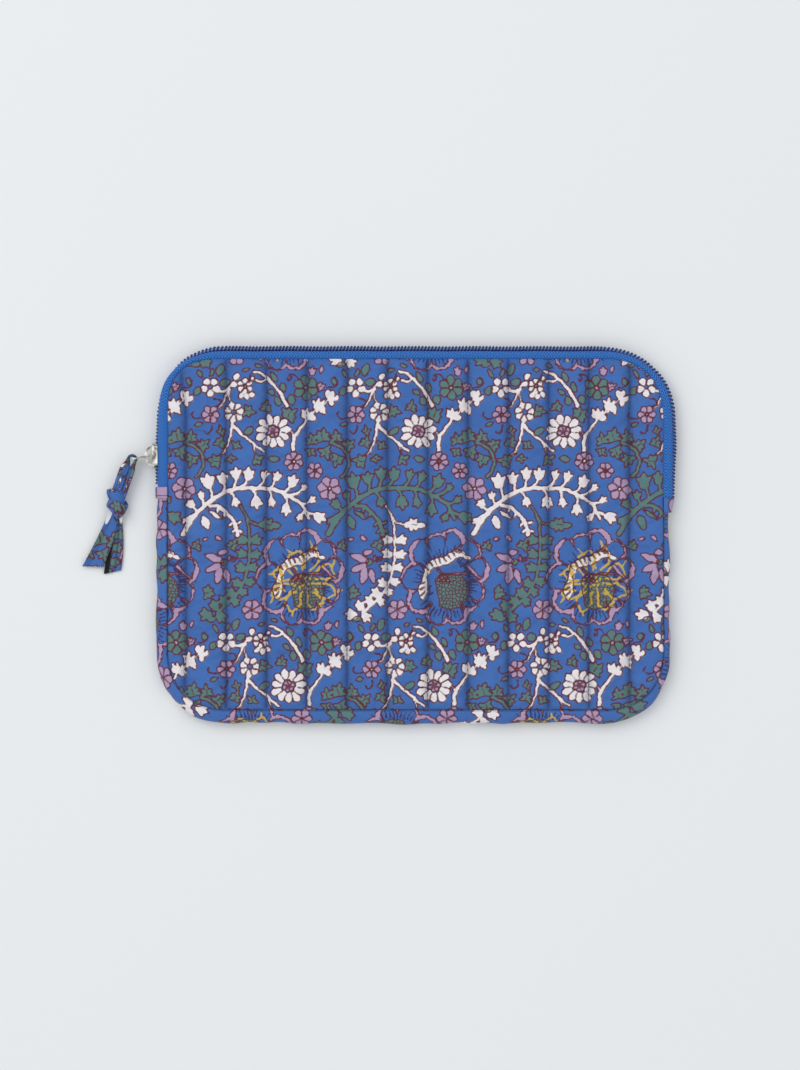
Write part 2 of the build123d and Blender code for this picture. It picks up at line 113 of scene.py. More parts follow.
class Block:
    """The printing block: layers of signed distance over one repeat."""

    LAYERS = ("white", "green", "mauve", "yellow", "line", "hatch", "scales")

    def __init__(self):
        self.xs = GRID_ORIGIN[0] + GRID_STEP * np.arange(round(REPEAT_WIDTH / GRID_STEP) + 2)
        self.ys = GRID_ORIGIN[1] + GRID_STEP * np.arange(round(REPEAT_HEIGHT / GRID_STEP) + 2)
        self.fields = {name: np.full((len(self.ys), len(self.xs)), FAR) for name in self.LAYERS}
        self.dx = 0.0

    def stamp(self, layer, low, high, distance, cut=False):
        """Adds a shape to a layer, or cuts it out, in every repeat that it reaches."""
        for i, j in product((-2, -1, 0, 1, 2), (-1, 0, 1)):
            sx, sy = self.dx + i * REPEAT_WIDTH - j * ROW_SHIFT, j * REPEAT_HEIGHT
            c0, c1 = np.searchsorted(self.xs, (low[0] - FAR + sx, high[0] + FAR + sx))
            r0, r1 = np.searchsorted(self.ys, (low[1] - FAR + sy, high[1] + FAR + sy))
            if c0 < c1 and r0 < r1:
                d = distance(*np.meshgrid(self.xs[c0:c1] - sx, self.ys[r0:r1] - sy))
                part = self.fields[layer][r0:r1, c0:c1]
                part[:] = np.maximum(part, -d) if cut else np.minimum(part, d)

    def place(self, layer, x, y, turn, reach, distance, cut=False):
        """Stamps a shape whose distance is given along and across its own turned axis."""
        c, s = math.cos(math.radians(turn)), math.sin(math.radians(turn))
        self.stamp(layer, (x - reach, y - reach), (x + reach, y + reach), lambda px, py: distance(
            (px - x) * c + (py - y) * s, (py - y) * c - (px - x) * s), cut)

    def oval(self, layer, x, y, rx, ry=None, turn=0.0, cut=False):
        ry = ry or rx

        def distance(u, v):
            u, v = u / rx, v / ry
            k = np.hypot(u, v)
            return k * (k - 1) / np.maximum(np.hypot(u / rx, v / ry), 1e-6)

        self.place(layer, x, y, turn, max(rx, ry), distance, cut)

    def leaf(self, layer, x, y, length, width, turn):
        """A pointed oval."""
        half, side = length / 2, width / 2
        radius = (half**2 + side**2) / (2 * side)
        self.place(layer, x, y, turn, half,
                   lambda u, v: np.hypot(u, np.abs(v) + radius - side) - radius)

    def beads(self, layer, points, radii):
        """A line through points, with a radius at each."""
        for a, b, ra, rb in zip(points, points[1:], radii, radii[1:]):
            along = b - a
            length2 = max(along @ along, 1e-9)

            def distance(px, py):
                t = np.clip(((px - a[0]) * along[0] + (py - a[1]) * along[1]) / length2, 0, 1)
                return np.hypot(px - a[0] - t * along[0], py - a[1] - t * along[1]) - ra - (rb - ra) * t

            reach = max(ra, rb)
            self.stamp(layer, np.minimum(a, b) - reach, np.maximum(a, b) + reach, distance)

    def stroke(self, layer, points, width, end_width=None):
        """A line that tapers from one width to another."""
        path = smooth_path(points) if len(points) > 2 else np.array(points, float)
        self.beads(layer, path, np.linspace(width / 2, (end_width or width) / 2, len(path)))

    def ray(self, layer, x, y, near, far, turn, width, end_width=None):
        """A straight stroke between two distances from (x, y)."""
        self.stroke(layer, [polar(x, y, near, turn), polar(x, y, far, turn)], width, end_width)

    def flower(self, layer, x, y, petals, ring, size, turn=90.0, eye=None, eye_size=1.1):
        """Round petals in a ring, each outlined, with an eye in another layer."""
        for k in range(petals):
            a = turn + 360 * k / petals
            self.oval(layer, *polar(x, y, ring, a), 1.04 * size)
            self.ray("line", x, y, 0.4 * ring, 1.1 * ring, a + 180 / petals, 0.7, 0.9)
        self.oval(layer, x, y, 0.8 * ring)
        if eye:
            self.oval(layer, x, y, eye_size + 0.3, cut=True)
            self.oval(eye, x, y, eye_size)

    def bud(self, layer, x, y, size, turn):
        """A three-pointed bud that opens in the direction of turn."""
        for spread, length in ((0, 1.3), (46, 1.12), (-46, 1.12)):
            self.leaf(layer, *polar(x, y, 0.44 * size * length, turn + spread), 1.6 * size * length,
                      0.86 * size, turn + spread)
        self.oval(layer, x, y, 0.74 * size)

    def stalk(self, layer, foot, bend, x, y, size, turn):
        """A bud at the end of its stalk."""
        self.stroke(layer, [foot, bend, (x, y)], 2.2, 1.9)
        self.bud(layer, x, y, 0.98 * size, turn)

    def leaflet(self, layer, x, y, size, turn):
        """A bud that stands against its stem."""
        self.bud(layer, *polar(x, y, -0.7, turn), 1.22 * size, turn)

    def lobed(self, layer, x, y, size, turn, lobes=5):
        """An ivy or oak leaf: pointed lobes that fan out from its foot."""
        self.oval(layer, x, y, 0.48 * size)
        for k in range(lobes):
            spread = 236 * (k / (lobes - 1) - 0.5)
            length = size * (1.0 - 0.22 * abs(spread) / 118 + (0.16 if k % 2 == 0 else -0.05))
            self.leaf(layer, *polar(x, y, 0.52 * length, turn + spread), 1.24 * length, 0.56 * size,
                      turn + spread)
        self.ray("line", x, y, -0.3 * size, 0.5 * size, turn, 0.45)

    def draw(self, shapes, **layers):
        """Draws rows of (kind, layer, *places). A layer may go by a name given in layers."""
        for kind, layer, *places in shapes:
            for place in places:
                getattr(self, kind)(layers.get(layer, layer), *place)

    def read(self, layer, x, y, shift=(0.0, 0.0)):
        """The layer's signed distance at places given in the print's own millimetres."""
        x = x - shift[0] + 0.24 * np.sin(0.93 * y + 0.4 * x) + 0.14 * np.sin(2.3 * y - 1.1 * x + 2)
        y = y - shift[1] + 0.24 * np.sin(0.87 * x - 0.5 * y) + 0.14 * np.sin(2.1 * x + 1.3 * y + 1)
        u, v = x - GRID_ORIGIN[0], y - GRID_ORIGIN[1]
        row = np.floor(v / REPEAT_HEIGHT)
        v = (v - row * REPEAT_HEIGHT) / GRID_STEP
        u = np.mod(u + row * ROW_SHIFT, REPEAT_WIDTH) / GRID_STEP
        c, r = np.floor(u).astype(int), np.floor(v).astype(int)
        fu, fv = u - c, v - r
        f = self.fields[layer]
        return ((f[r, c] * (1 - fu) + f[r, c + 1] * fu) * (1 - fv)
                + (f[r + 1, c] * (1 - fu) + f[r + 1, c + 1] * fu) * fv)


# Each row below is a kind of shape, its layer, and the places and sizes of such shapes.

SPRAYS = (
    # Flowers: five petals, twin, and a ring with an open eye. Then the green one.
    ("flower", "white", (-58.2, 122.6, 5, 4.2, 2.3, 125), (-36.2, 123.2, 6, 3.3, 1.75, 90, "mauve", 1),
     (-43.2, 106.6, 7, 4.4, 2.15, 110)),
    ("flower", "green", (2.4, 122.2, 6, 5.1, 2.7, 95, "mauve", 1.3)),
    ("oval", "white", (-43.2, 106.6, 3.6), (-43.2, 106.8, 1.7, 1.7, 0, True),
     (-58.2, 122.8, 1.5, 1.5, 0, True), (-41.6, 129.2, 2.5, 2, 60), (-43.4, 124.4, 2.3, 2),
     (-31.6, 128.2, 1.6, 1.3, 60), (-38.6, 117.4, 2.2, 1.8, 50), (-35.2, 116.6, 2.2, 1.8, 90),
     (-31.6, 117.8, 2.2, 1.8, 130)),
    # The stems of the white flowers, and the arching stem.
    ("stroke", "white",
     ([(-53.5, 120.6), (-50, 120), (-46.5, 121.2)], 1.8, 3),
     ([(-46.5, 121), (-49, 116), (-51, 111.5), (-53.4, 109.6)], 2, 1.2),
     ([(-46.6, 119.6), (-46.2, 115.6), (-44.8, 112)], 1.4, 1.6),
     ([(-47, 121.6), (-44.4, 124.6)], 1.6),
     ([(-30.8, 132.6), (-26.4, 131.4), (-22, 128.2), (-17, 122.8), (-13, 117.4), (-9.6, 110.6)], 1.9, 2.7),
     ([(-22.4, 127.6), (-25.6, 126.2), (-29.2, 126.8)], 1.6, 2.2),
     ([(-44.4, 100.4), (-45.2, 94), (-46.6, 88), (-49, 82.6), (-52, 79.4)], 2.5, 1.2),
     ([(-48.4, 84), (-48.8, 80)], 1.4, 0.7),
     ([(-44.2, 98.6), (-38.4, 93), (-32.4, 88.2), (-28.6, 84.8), (-24.4, 81.8)], 2.5, 1.8),
     ([(-31.4, 87.4), (-30.2, 83.6), (-29.4, 80.4)], 1.9, 0.9)),
    # The branch with cotton-like heads.
    ("stroke", "white",
     ([(-5.6, 82.6), (-5.4, 89.4), (-2.8, 94.2), (1.2, 99.6), (3.6, 103.6)], 3, 1.8),
     ([(-5.2, 89.4), (-6.2, 93.2), (-8, 96)], 2, 0.9), ([(6.2, 104.8), (9, 108.6)], 1.5),
     ([(12.6, 110.8), (16.8, 114.8)], 1.5)),
    ("oval", "white", (2.2, 105.2, 3.1, 2.8, 10), (6, 103.3, 3.1, 2.3, -25), (9.9, 110.8, 3.2, 3, 40),
     (12.6, 109.2, 2.5, 3.1, 10), (16.3, 118.2, 1.9, 2.9, 12), (18.9, 118, 1.7, 2.9, -14),
     (20.8, 115, 2.7, 1.7, 12), (18.4, 112.8, 1.8, 2.7, 14), (17.7, 115.8, 2.1)),
    ("leaf", "white", (0.4, 107.5, 4.2, 2.3, 118), (3.2, 108.1, 4.2, 2.3, 92), (6, 106.4, 4.4, 2.3, 66),
     (7.7, 113, 4.8, 2.4, 128), (10.3, 114.3, 5, 2.4, 98), (13.2, 113, 4.4, 2.3, 66),
     (13.9, 106.6, 3.6, 2.4, -60), (9.7, 107.4, 3.8, 2.2, -110), (21.9, 116.4, 3.6, 2.1, 48)),
    # Leaves, green buds and the tendrils about them.
    ("leaf", "green", (-64.8, 131, 6.5, 2.8, 118), (-57.3, 131.8, 6, 2.6, 72), (-52, 133.6, 8.5, 4.6, 68),
     (-67.5, 137, 6, 3.4, 15), (-35.6, 133.6, 4.6, 2.4, 10), (-27.6, 136.2, 5, 2.4, -20),
     (-17.8, 129, 7.6, 3.6, -60), (-12, 122.4, 6.8, 3.6, -70), (-6.8, 114.6, 6.6, 4.6, -70),
     (-19.6, 119.4, 5.6, 3.2, -35), (-15.6, 113.8, 6.6, 4.2, -70), (-34, 94.6, 8, 4.4, 35),
     (-17.8, 77, 7.6, 4, -8)),
    ("oval", "green", (-49, 125.6, 3.2, 2.4, 20), (-66.2, 120.2, 2.9, 2.2, 60), (20.2, 126, 1.7, 2.3, 20)),
    ("lobed", "green", (-34.6, 107.4, 4.4, -10), (-23, 109.6, 4, 80), (-8.6, 104.6, 5.4, 60, 6),
     (-51.6, 94.6, 3.4, 60, 4), (-52.2, 87, 4.2, 70), (-41.6, 85.4, 3.8, 100, 4), (-54.6, 75.6, 5, 170),
     (-45.6, 77.4, 3.6, -40, 4), (-28.6, 76.6, 4.4, -10, 4)),
    ("bud", "mauve", (6.4, 131.8, 2.7, 84)),
    ("leaf", "mauve", (12.2, 133.8, 5.4, 2.4, 80)),
    ("lobed", "mauve", (11.4, 122.8, 3.2, 20)),
    ("stroke", "line",
     ([(-32.4, 131), (-33.6, 127.6), (-33.2, 125.6)], 0.8),
     ([(6.9, 107.2), (8, 108.4)], 0.5), ([(15.4, 112.9), (16.5, 114)], 0.5),
     ([(20.4, 128.8), (22.6, 126.6), (20.8, 122.8), (15.8, 122.2)], 0.8),
     ([(-9.2, 128.2), (-8.4, 126.2), (-6.8, 128.4), (-8.6, 130.6), (-4.6, 130.2), (-2, 127)], 0.8)),
)
MAUVE_FLOWERS = (
    ("flower", "mauve", (-58, 105.2, 6, 3.7, 2, 60, "white", 0.9), (-5.4, 75.6, 7, 4, 2, 90, "white", 1.1),
     (8, 69.6, 6, 3.3, 1.9, 60, "white", 0.9), (17.2, 58.2, 6, 4.8, 2.75, 50, "white", 1.1),
     (-31.8, -18.6, 6, 4.2, 2.3, 60)),
    ("oval", "line", (-31.8, -18.6, 0.8)),
    ("stroke", "line",
     ([(-63.6, 103), (-67.6, 102.6), (-70, 104.8), (-68.8, 106.8)], 0.8),
     ([(-57.4, 98.6), (-57.6, 95), (-60.2, 93), (-62, 94.6)], 0.9),
     ([(-56, 115.4), (-52.6, 114.6), (-51.6, 112), (-55, 110)], 0.9)),
    ("leaf", "green", (-65.6, 99, 5.6, 2.6, 20)),
)
OAK_BRANCH = (
    ("stroke", "green",
     ([(-67.2, 65.6), (-63.8, 70), (-62.6, 76), (-64.6, 81.4), (-69, 85.4), (-74, 87.4)], 2, 2.2)),
    ("lobed", "green", (-63, 85.6, 4.4, 40), (-70.4, 90.4, 4.4, 95), (-79.2, 90.6, 5.4, 105, 6),
     (-77.6, 82, 4.8, -70), (-69.8, 77.2, 4.8, -110), (-86.2, 88.6, 4.4, 100), (-86.6, 81.8, 3.8, -80, 4)),
)
FERN = (
    ("stroke", "fern",
     ([(-75.6, 29.6), (-71.4, 36.6), (-66, 43.6), (-60, 48.8), (-54, 53.2), (-47, 56.8), (-38, 58.6),
       (-28, 58.4), (-19, 58), (-12, 55.4), (-5, 51.6), (-0.4, 48.4), (2, 44), (4.4, 39.4)], 3.6, 2.4),
     ([(-58.4, 47.4), (-52.8, 46.8), (-48, 42.8), (-43.8, 38), (-41.6, 32.6), (-41, 28.4)], 2.6, 3)),
    ("stalk", "fern",
     ((-57.4, 50.6), (-57.2, 55), -59.6, 61.4, 4.9, 96), ((-49.6, 56), (-49.4, 59.4), -50.6, 63.6, 3.9, 92),
     ((-44.4, 57.6), (-42.4, 61.4), -42, 66.6, 4, 94), ((-39.6, 58.6), (-36, 61.6), -33.8, 66.2, 4.2, 92),
     ((-28.6, 58.6), (-25.2, 61.8), -24, 66.2, 3.1, 74), ((-20.6, 58.2), (-18.4, 61), -16.2, 65, 3.4, 76),
     ((-12.4, 55.8), (-9.6, 57.4), -6.2, 61.6, 4.2, 76), ((-8.8, 53.8), (-3.4, 55.2), 0.8, 58.4, 2.6, 64),
     ((-2.2, 49.4), (1.6, 48.8), 5.8, 50.6, 2.8, 40), ((-62.4, 46.8), (-62.6, 49.8), -64, 53.2, 2.9, 96),
     ((-45.8, 56.6), (-43.6, 54), -42.4, 50.6, 3.3, -76), ((-32, 58.4), (-29.6, 55.2), -29.2, 50.8, 4.2, -82),
     ((-21, 57.8), (-20, 54.6), -19.4, 50.4, 3.2, -80), ((-11.6, 55), (-9.8, 51), -10.2, 46.2, 3.9, -88),
     ((1.8, 44.6), (0.4, 42.4), -1.2, 40.8, 2.8, -120), ((2.4, 43.2), (6, 42.4), 10, 40.6, 4.2, -28),
     ((-66, 43.6), (-68, 45.4), -70.2, 47.8, 3.4, 128), ((-67, 42.6), (-71, 40.6), -73.6, 38.4, 2.6, -140)),
    # Leaves at the foot, and the short teeth of the side frond.
    ("leaf", "fern", (-61.2, 36.8, 10.4, 5.4, -66), (-55.4, 41.6, 11, 2.6, -34),
     (-53.4, 44.6, 4.4, 2.2, -100), (-49.4, 41.6, 4.4, 2.2, -110), (-45.4, 35.4, 4.4, 2.2, -130),
     (-39.8, 36.8, 4.4, 2.2, 20), (-43.6, 31.4, 4.4, 2.2, -140), (-38.8, 31.2, 4.4, 2.2, -20)),
)
VINE = (
    ("stroke", "vine",
     ([(-39, 47.2), (-35.6, 41), (-33.8, 33), (-33.4, 22), (-34, 10), (-36.6, 0), (-41, -8.4), (-47, -14.4),
       (-53.6, -20.2)], 1.7, 2.3),
     ([(-34.8, 39.8), (-32, 36.6), (-27.6, 35.4)], 1.4, 1.8)),
    ("lobed", "vine", (-21.4, 35.4, 5, 0)),
    ("leaf", "vine", (-17.4, 34.8, 9, 4.2, 2)),
    ("oval", "vine", (-24.6, 35.4, 3, 2.6)),
    ("leaflet", "vine", (-37.6, 25.6, 2.9, 165), (-29.6, 25.6, 3, 15), (-37.8, 16.8, 2.9, 160),
     (-30, 16.4, 2.9, 10), (-38.4, 8, 3, 160), (-31.2, 8.2, 2.7, 5), (-41, -1.8, 2.8, 150),
     (-33.6, -0.8, 2.7, -10), (-45, -8.2, 3, 140), (-37.6, -7.2, 2.5, -30), (-49.4, -13.2, 2.9, 130),
     (-42.6, -13.2, 2.6, -40), (-55.2, -16.4, 3, 110), (-60.4, -21.8, 3.3, 170), (-51.8, -23, 3, -50)),
)
LILY = (
    ("leaf", "mauve", (-55.8, 14.2, 13.4, 4.6, -22), (-56.2, 8, 11.6, 4.6, 24), (-53, 3.2, 12, 5.2, 80),
     (-47.8, 2.8, 10.6, 4.2, 104), (-50.4, 17.8, 6.6, 3.8, 10), (-53.2, 26.8, 5.6, 2.6, -40),
     (-61.4, 26.2, 4.4, 2.2, 15), (-46.2, 14.2, 4.6, 1.8, 80)),
    ("oval", "green", (-49.6, 11.6, 2)),
    ("lobed", "green", (-67.2, 21.6, 3.8, 70), (-44.4, 22, 4.2, 60), (-60.2, -7.8, 4.6, 10, 6)),
    ("stroke", "line", *(([(-45.4 + 1.1 * k, 15.6 - 0.3 * k), (-44.8 + 1.2 * k, 11.2 + 0.5 * k)], 0.6)
                         for k in range(4))),
)
BIG_FLOWER = (
    # The scaled centre's brim, seeds and side petal.
    ("stroke", "mauve", ([(-6.4, 7.4), (-3.4, 4.4), (1, 3.9), (7, 4.4), (13, 4)], 1, 1.2),
     ([(13.2, 9), (17.4, 4.2), (22, 0.6)], 2.4, 1.2)),
    ("oval", "mauve", (-3.8, 2.2, 1.15, 1), (-1, 2.4, 1.15, 1), (-2.6, -0.2, 1.15, 1),
     (-5.4, 0.4, 1.15, 1), (0.4, -0.2, 1.15, 1)),
    # The white crescent, with short maroon strokes across it.
    ("beads", "white", (np.array([(-15.6, -11), (-15.6, -6), (-14.6, -1.6), (-14.2, 2.6), (-12.6, 6.4)]),
                        (1.4, 3.4, 2.2, 1.3, 2.3))),
    ("oval", "white", *((x, y, 1.1 * r, 0.94 * r, 25) for x, y, r in (
        (-11.4, 8.8, 2.6), (-8.6, 10.8, 3), (-5, 11.8, 3.1), (-1.2, 12.6, 3.2), (2.2, 14.8, 3.1),
        (5.6, 16.8, 2.9), (8.8, 16.6, 2.3)))),
    ("leaf", "white", (12.4, 14.6, 6.6, 3, -14)),
    ("ray", "line", *((x, y, 0, 3.6, turn, 1.2, 0.7) for x, y, turn in (
        (-13.8, 9, -50), (-11.2, 11.6, -58), (-8.4, 13.4, -62), (-5.6, 14.2, -64), (-2.8, 14.9, -60),
        (-0.2, 16.6, -54), (2.4, 18.4, -48), (5, 19.6, -44), (7.8, 19.4, -48), (-17.6, -2.6, 20),
        (-17.4, -6, 30), (-16.6, -9.4, 50)))),
)
RIM_PETALS = (
    (3.3, 24.6, 8.4), (13.0, 17.6, 8.6), (17.6, 6.4, 9.4), (15.4, -7.0, 8.6), (12.6, -13.6, 6.8),
    (5.2, -19.4, 8.8), (-5.6, -19.6, 8.8), (-16.8, -12.4, 9.0), (-19.6, 2.0, 10.0),
    (-15.2, 17.0, 9.6), (-6.0, 22.0, 8.2),
)
RIM_REACH = 34.0
FAN_CENTRE = (1.8, -6.6)
FAN_RADIUS = 11.6
DAISY = (-18.4, 94.6)
DAISY_PETALS = 11
HATCH_STROKES = 54


def draw_daisy(block):
    x, y = DAISY
    for k in range(DAISY_PETALS):
        a = 8 + 360 * k / DAISY_PETALS
        reach = 7.9 + 0.7 * math.sin(2.3 * k)
        px, py = polar(0, 0, reach, a)
        block.oval("white", x + px, y + 0.94 * py, 3.7, 2.5, a)
        dx, dy = polar(0, 0, 1, a + 180 / DAISY_PETALS)
        block.stroke("line", [(x + 5.4 * dx, y + 5 * dy), (x + 10.4 * dx, y + 9.8 * dy)], 0.6)
    block.flower("mauve", x, y, 6, 2.3, 1.5, 20)
    block.oval("line", x, y, 0.7)


def draw_big_flower(block):
    """The large flower: scalloped rim, hatching, scaled centre and white crescent."""

    def petals(x, y):
        wave = 0.45 * np.sin(1.3 * x + 0.6) * np.sin(1.1 * y) + 0.25 * np.sin(2.1 * x - 1.7 * y)
        middle = np.hypot(x + 0.5, y - 1.5) - 21.0
        return np.minimum(middle, wave + np.min([np.hypot(x - px, y - py) - r
                                                 for px, py, r in RIM_PETALS], axis=0))

    def rim_width(x, y):
        a = np.arctan2(y - 1.5, x)
        return 2.0 + 0.9 * np.sin(5 * a + 1.0) + 0.6 * np.sin(11 * a)

    block.stamp("mauve", (-RIM_REACH, -RIM_REACH), (RIM_REACH, RIM_REACH),
                lambda x, y: np.maximum(petals(x, y), -petals(x, y) - rim_width(x, y)))
    # Where two petals of the rim meet, it runs inward and ends in a dark line.
    for (x0, y0, r0), (x1, y1, r1) in zip(RIM_PETALS, RIM_PETALS[1:] + RIM_PETALS[:1]):
        middle = np.array(((x0 + x1) / 2, (y0 + y1) / 2))
        away = middle / math.hypot(*middle)
        notch = middle + away * math.sqrt(max((r0 + r1) ** 2 - (x1 - x0) ** 2 - (y1 - y0) ** 2, 1)) / 2
        block.stroke("mauve", [notch - 1.0 * away, notch - 4.4 * away], 1.7, 0.8)
        block.stroke("hatch", [notch - 3.6 * away, notch - 9.0 * away], 0.9, 0.6)
    # Hatching, in short strokes that point at the middle.
    for k in range(HATCH_STROKES):
        a = 360 * k / HATCH_STROKES
        inner = 12.8 + 0.8 * math.sin(2.1 * k)
        outer = inner + 5.0 + 1.5 * math.sin(3.7 * k + 1.0)
        if 70 < a < 185:
            inner, outer = inner + 3.8, outer + 4.2
        elif 215 < a < 325:
            inner, outer = inner + 5.6, outer + 6.2
        block.ray("hatch", 1, -1, inner, outer, a, 1.05, 0.6)

    def cup(x, y):
        """The scaled centre: a full round cup, pointed at its upper left."""
        d = np.hypot(x - FAN_CENTRE[0], y - FAN_CENTRE[1]) - FAN_RADIUS
        d = np.maximum(d, y - 3.8 + 0.10 * (x - 2))
        return np.maximum(d, -(x + 8.4) * 0.98 - (y - 4.0) * 0.18)

    for layer in ("green", "scales"):
        block.stamp(layer, (-13, -20), (15, 6), cup)
    block.draw(BIG_FLOWER)


OVERPRINT_PETALS, OVERPRINT_DOTS = 8, 17


def draw_overprint(block):
    """The yellow flower printed over every other large flower."""
    corners = range(7)
    for k in range(OVERPRINT_PETALS):
        a = 22 + 360 / OVERPRINT_PETALS * k + 5 * math.sin(2.3 * k)
        tip = 20.6 + 2.0 * math.sin(1.9 * k)
        petal = []
        for step in np.linspace(0, 6, 19):
            radius = np.interp(step, corners, (7.5, 14.5, 18.5, tip, 18.0, 13.5, 8.5))
            radius += 0.75 * math.sin(2.9 * k + 3.7 * step)
            turn = a + np.interp(step, corners, (-10, -19, -11, 2, 15, 20, 13))
            petal.append(polar(1, -0.5, radius, turn))
        block.stroke("yellow", petal, 0.95)
        t = a + 6
        block.stroke("yellow", [polar(1, -0.5, tip, t), polar(1, 0, tip + 3, t + math.degrees(0.08))], 0.8)
    for k in range(OVERPRINT_DOTS):
        a = math.degrees(2.4 * k)
        block.oval("yellow", *polar(0.6, -0.6, 1.9 + 0.33 * k, a), 0.95, 0.5, a + 40 * (k % 3))
    block.stroke("yellow", [(-17.6, -6.4), (-13.0, -5.6), (-10.8, -6.8)], 1.0)
    block.stroke("yellow", [(-12.6, 2.2), (-14.2, 7.0)], 2.0)


def make_block():
    block = Block()
    for half, (fern, vine) in enumerate((("white", "green"), ("green", "white"))):
        block.dx = half * HALF_WIDTH
        for shapes in (OAK_BRANCH, FERN, VINE, SPRAYS, MAUVE_FLOWERS, LILY):
            block.draw(shapes, fern=fern, vine=vine)
        draw_daisy(block)
        draw_big_flower(block)
    block.dx = 0.0
    draw_overprint(block)
    return block

# ---- Outline and meshes --------------------------------------------------------------

HALF_X, HALF_Y, CORNER = 158.0, 112.0, 38.0
STRAIGHT_X, STRAIGHT_Y = HALF_X - CORNER, HALF_Y - CORNER
ARC = CORNER * math.pi / 2
AROUND = 4 * (STRAIGHT_X + STRAIGHT_Y + ARC)
RIGHT_MIDDLE = AROUND / 2


def swell(x, y):
    """The (dx, dy) by which each soft corner stands out of its round outline."""
    qx, qy = np.maximum(np.abs(x) - STRAIGHT_X, 0), np.maximum(np.abs(y) - STRAIGHT_Y, 0)
    far = np.maximum(np.hypot(qx, qy), 1e-9)
    most = np.where(x < 0, np.where(y > 0, 4.4, 1.2), np.where(y > 0, 1.8, 1.5))
    amount = most * (2 * qx * qy / far**2) ** 2 * far / CORNER**2
    return np.sign(x) * qx * amount, np.sign(y) * qy * amount


def outline(s):
    """The outline's point and outward direction at s."""
    s = np.mod(np.asarray(s, float), AROUND)
    x, y, nx, ny = (np.zeros_like(s) for _ in range(4))
    start = 0.0
    px, py, heading = -HALF_X, 0.0, -90.0
    runs = [("line", STRAIGHT_Y)]
    for length in (2 * STRAIGHT_X, 2 * STRAIGHT_Y, 2 * STRAIGHT_X, STRAIGHT_Y):
        runs += [("arc", ARC), ("line", length)]
    for kind, length in runs:
        here = (s >= start - 1e-6) & (s <= start + length + 1e-6)
        t = s[here] - start
        h = math.radians(heading)
        if kind == "line":
            x[here], y[here] = px + t * math.cos(h), py + t * math.sin(h)
            nx[here], ny[here] = math.sin(h), -math.cos(h)
            px, py = px + length * math.cos(h), py + length * math.sin(h)
        else:
            cx, cy = px - CORNER * math.sin(h), py + CORNER * math.cos(h)
            a = h - math.pi / 2 + t / CORNER
            x[here], y[here] = cx + CORNER * np.cos(a), cy + CORNER * np.sin(a)
            nx[here], ny[here] = np.cos(a), np.sin(a)
            px, py = cx + CORNER * math.cos(h), cy + CORNER * math.sin(h)
            heading += 90
        start += length
    dx, dy = swell(x, y)
    return x + dx, y + dy, nx, ny


def inset(x, y):
    """How far a point on a panel lies inside the outline."""
    qx, qy = np.abs(x) - STRAIGHT_X, np.abs(y) - STRAIGHT_Y
    return CORNER - np.hypot(np.maximum(qx, 0), np.maximum(qy, 0)) - np.minimum(np.maximum(qx, qy), 0)


UP = np.array((0.0, 0.0, 1.0))


def xyz(*parts):
    """Points from arrays of their coordinates, of which one number can stand for all."""
    return np.stack(np.broadcast_arrays(*parts), -1)


def unit(vectors):
    return vectors / np.linalg.norm(vectors, axis=-1, keepdims=True)


def softened(wave, power):
    """A sine or cosine with fuller or flatter tops."""
    return np.sign(wave) * np.abs(wave) ** power


def circle(count):
    return 2 * np.pi * np.arange(count) / count


def make_piece(name, points, faces, material, body="shell"):
    """A closed mesh from points and a list of arrays of faces, riding on a body."""
    mesh = bpy.data.meshes.new(name)
    points = np.asarray(points, float)
    sides = np.concatenate([np.full(len(f), f.shape[1]) for f in faces])
    corners = np.concatenate([f.ravel() for f in faces])
    mesh.vertices.add(len(points))
    mesh.vertices.foreach_set("co", (points * MM).ravel())
    mesh.loops.add(len(corners))
    mesh.loops.foreach_set("vertex_index", corners)
    mesh.polygons.add(len(sides))
    mesh.polygons.foreach_set("loop_start", np.cumsum(sides) - sides)
    mesh.polygons.foreach_set("use_smooth", np.full(len(sides), True))
    mesh.update(calc_edges=True)
    mesh.validate()
    whole = bmesh.new()
    whole.from_mesh(mesh)
    bmesh.ops.recalc_face_normals(whole, faces=whole.faces)
    whole.to_mesh(mesh)
    whole.free()
    mesh.materials.append(material)
    obj = bpy.data.objects.new(name, mesh)
    bpy.context.scene.collection.objects.link(obj)
    if body:
        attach(obj, body)
    return obj


def set_vectors(obj, name, vectors):
    """Stores a vector at each vertex, in place of any of that name."""
    attributes = obj.data.attributes
    if name in attributes:
        attributes.remove(attributes[name])
    layer = attributes.new(name, "FLOAT_VECTOR", "POINT")
    layer.data.foreach_set("vector", np.ascontiguousarray(vectors, dtype=float).ravel())


def grid_faces(rows, cols, wrap_rows=False, wrap_cols=False, start=0):
    r = np.arange(rows if wrap_rows else rows - 1)
    c = np.arange(cols if wrap_cols else cols - 1)
    r, c = np.meshgrid(r, c, indexing="ij")
    r1, c1 = (r + 1) % rows, (c + 1) % cols
    quads = np.stack([r * cols + c, r1 * cols + c, r1 * cols + c1, r * cols + c1], -1)
    return quads.reshape(-1, 4) + start


def cap_faces(cols, row, start=0, flip=False):
    """Closes a ring of an even number of points with a strip of quads."""
    i = np.arange(cols // 2 - 1)
    base = start + row * cols
    quads = np.stack([base + i, base + i + 1, base + cols - 2 - i, base + cols - 1 - i], -1)
    return quads[:, ::-1] if flip else quads


def rim_ring(rows, cols):
    """The numbers of a grid's outer vertices, in order round it."""
    return np.concatenate([np.arange(cols), np.arange(1, rows) * cols + cols - 1,
                           (rows - 1) * cols + np.arange(cols - 2, -1, -1),
                           np.arange(rows - 2, 0, -1) * cols])


def slab_faces(rows, cols):
    """A grid of vertices, the same grid below it, and the rim between them."""
    ring, size = rim_ring(rows, cols), rows * cols
    after = np.roll(ring, -1)
    return [grid_faces(rows, cols), grid_faces(rows, cols, start=size),
            np.stack([ring, ring + size, after + size, after], -1)]


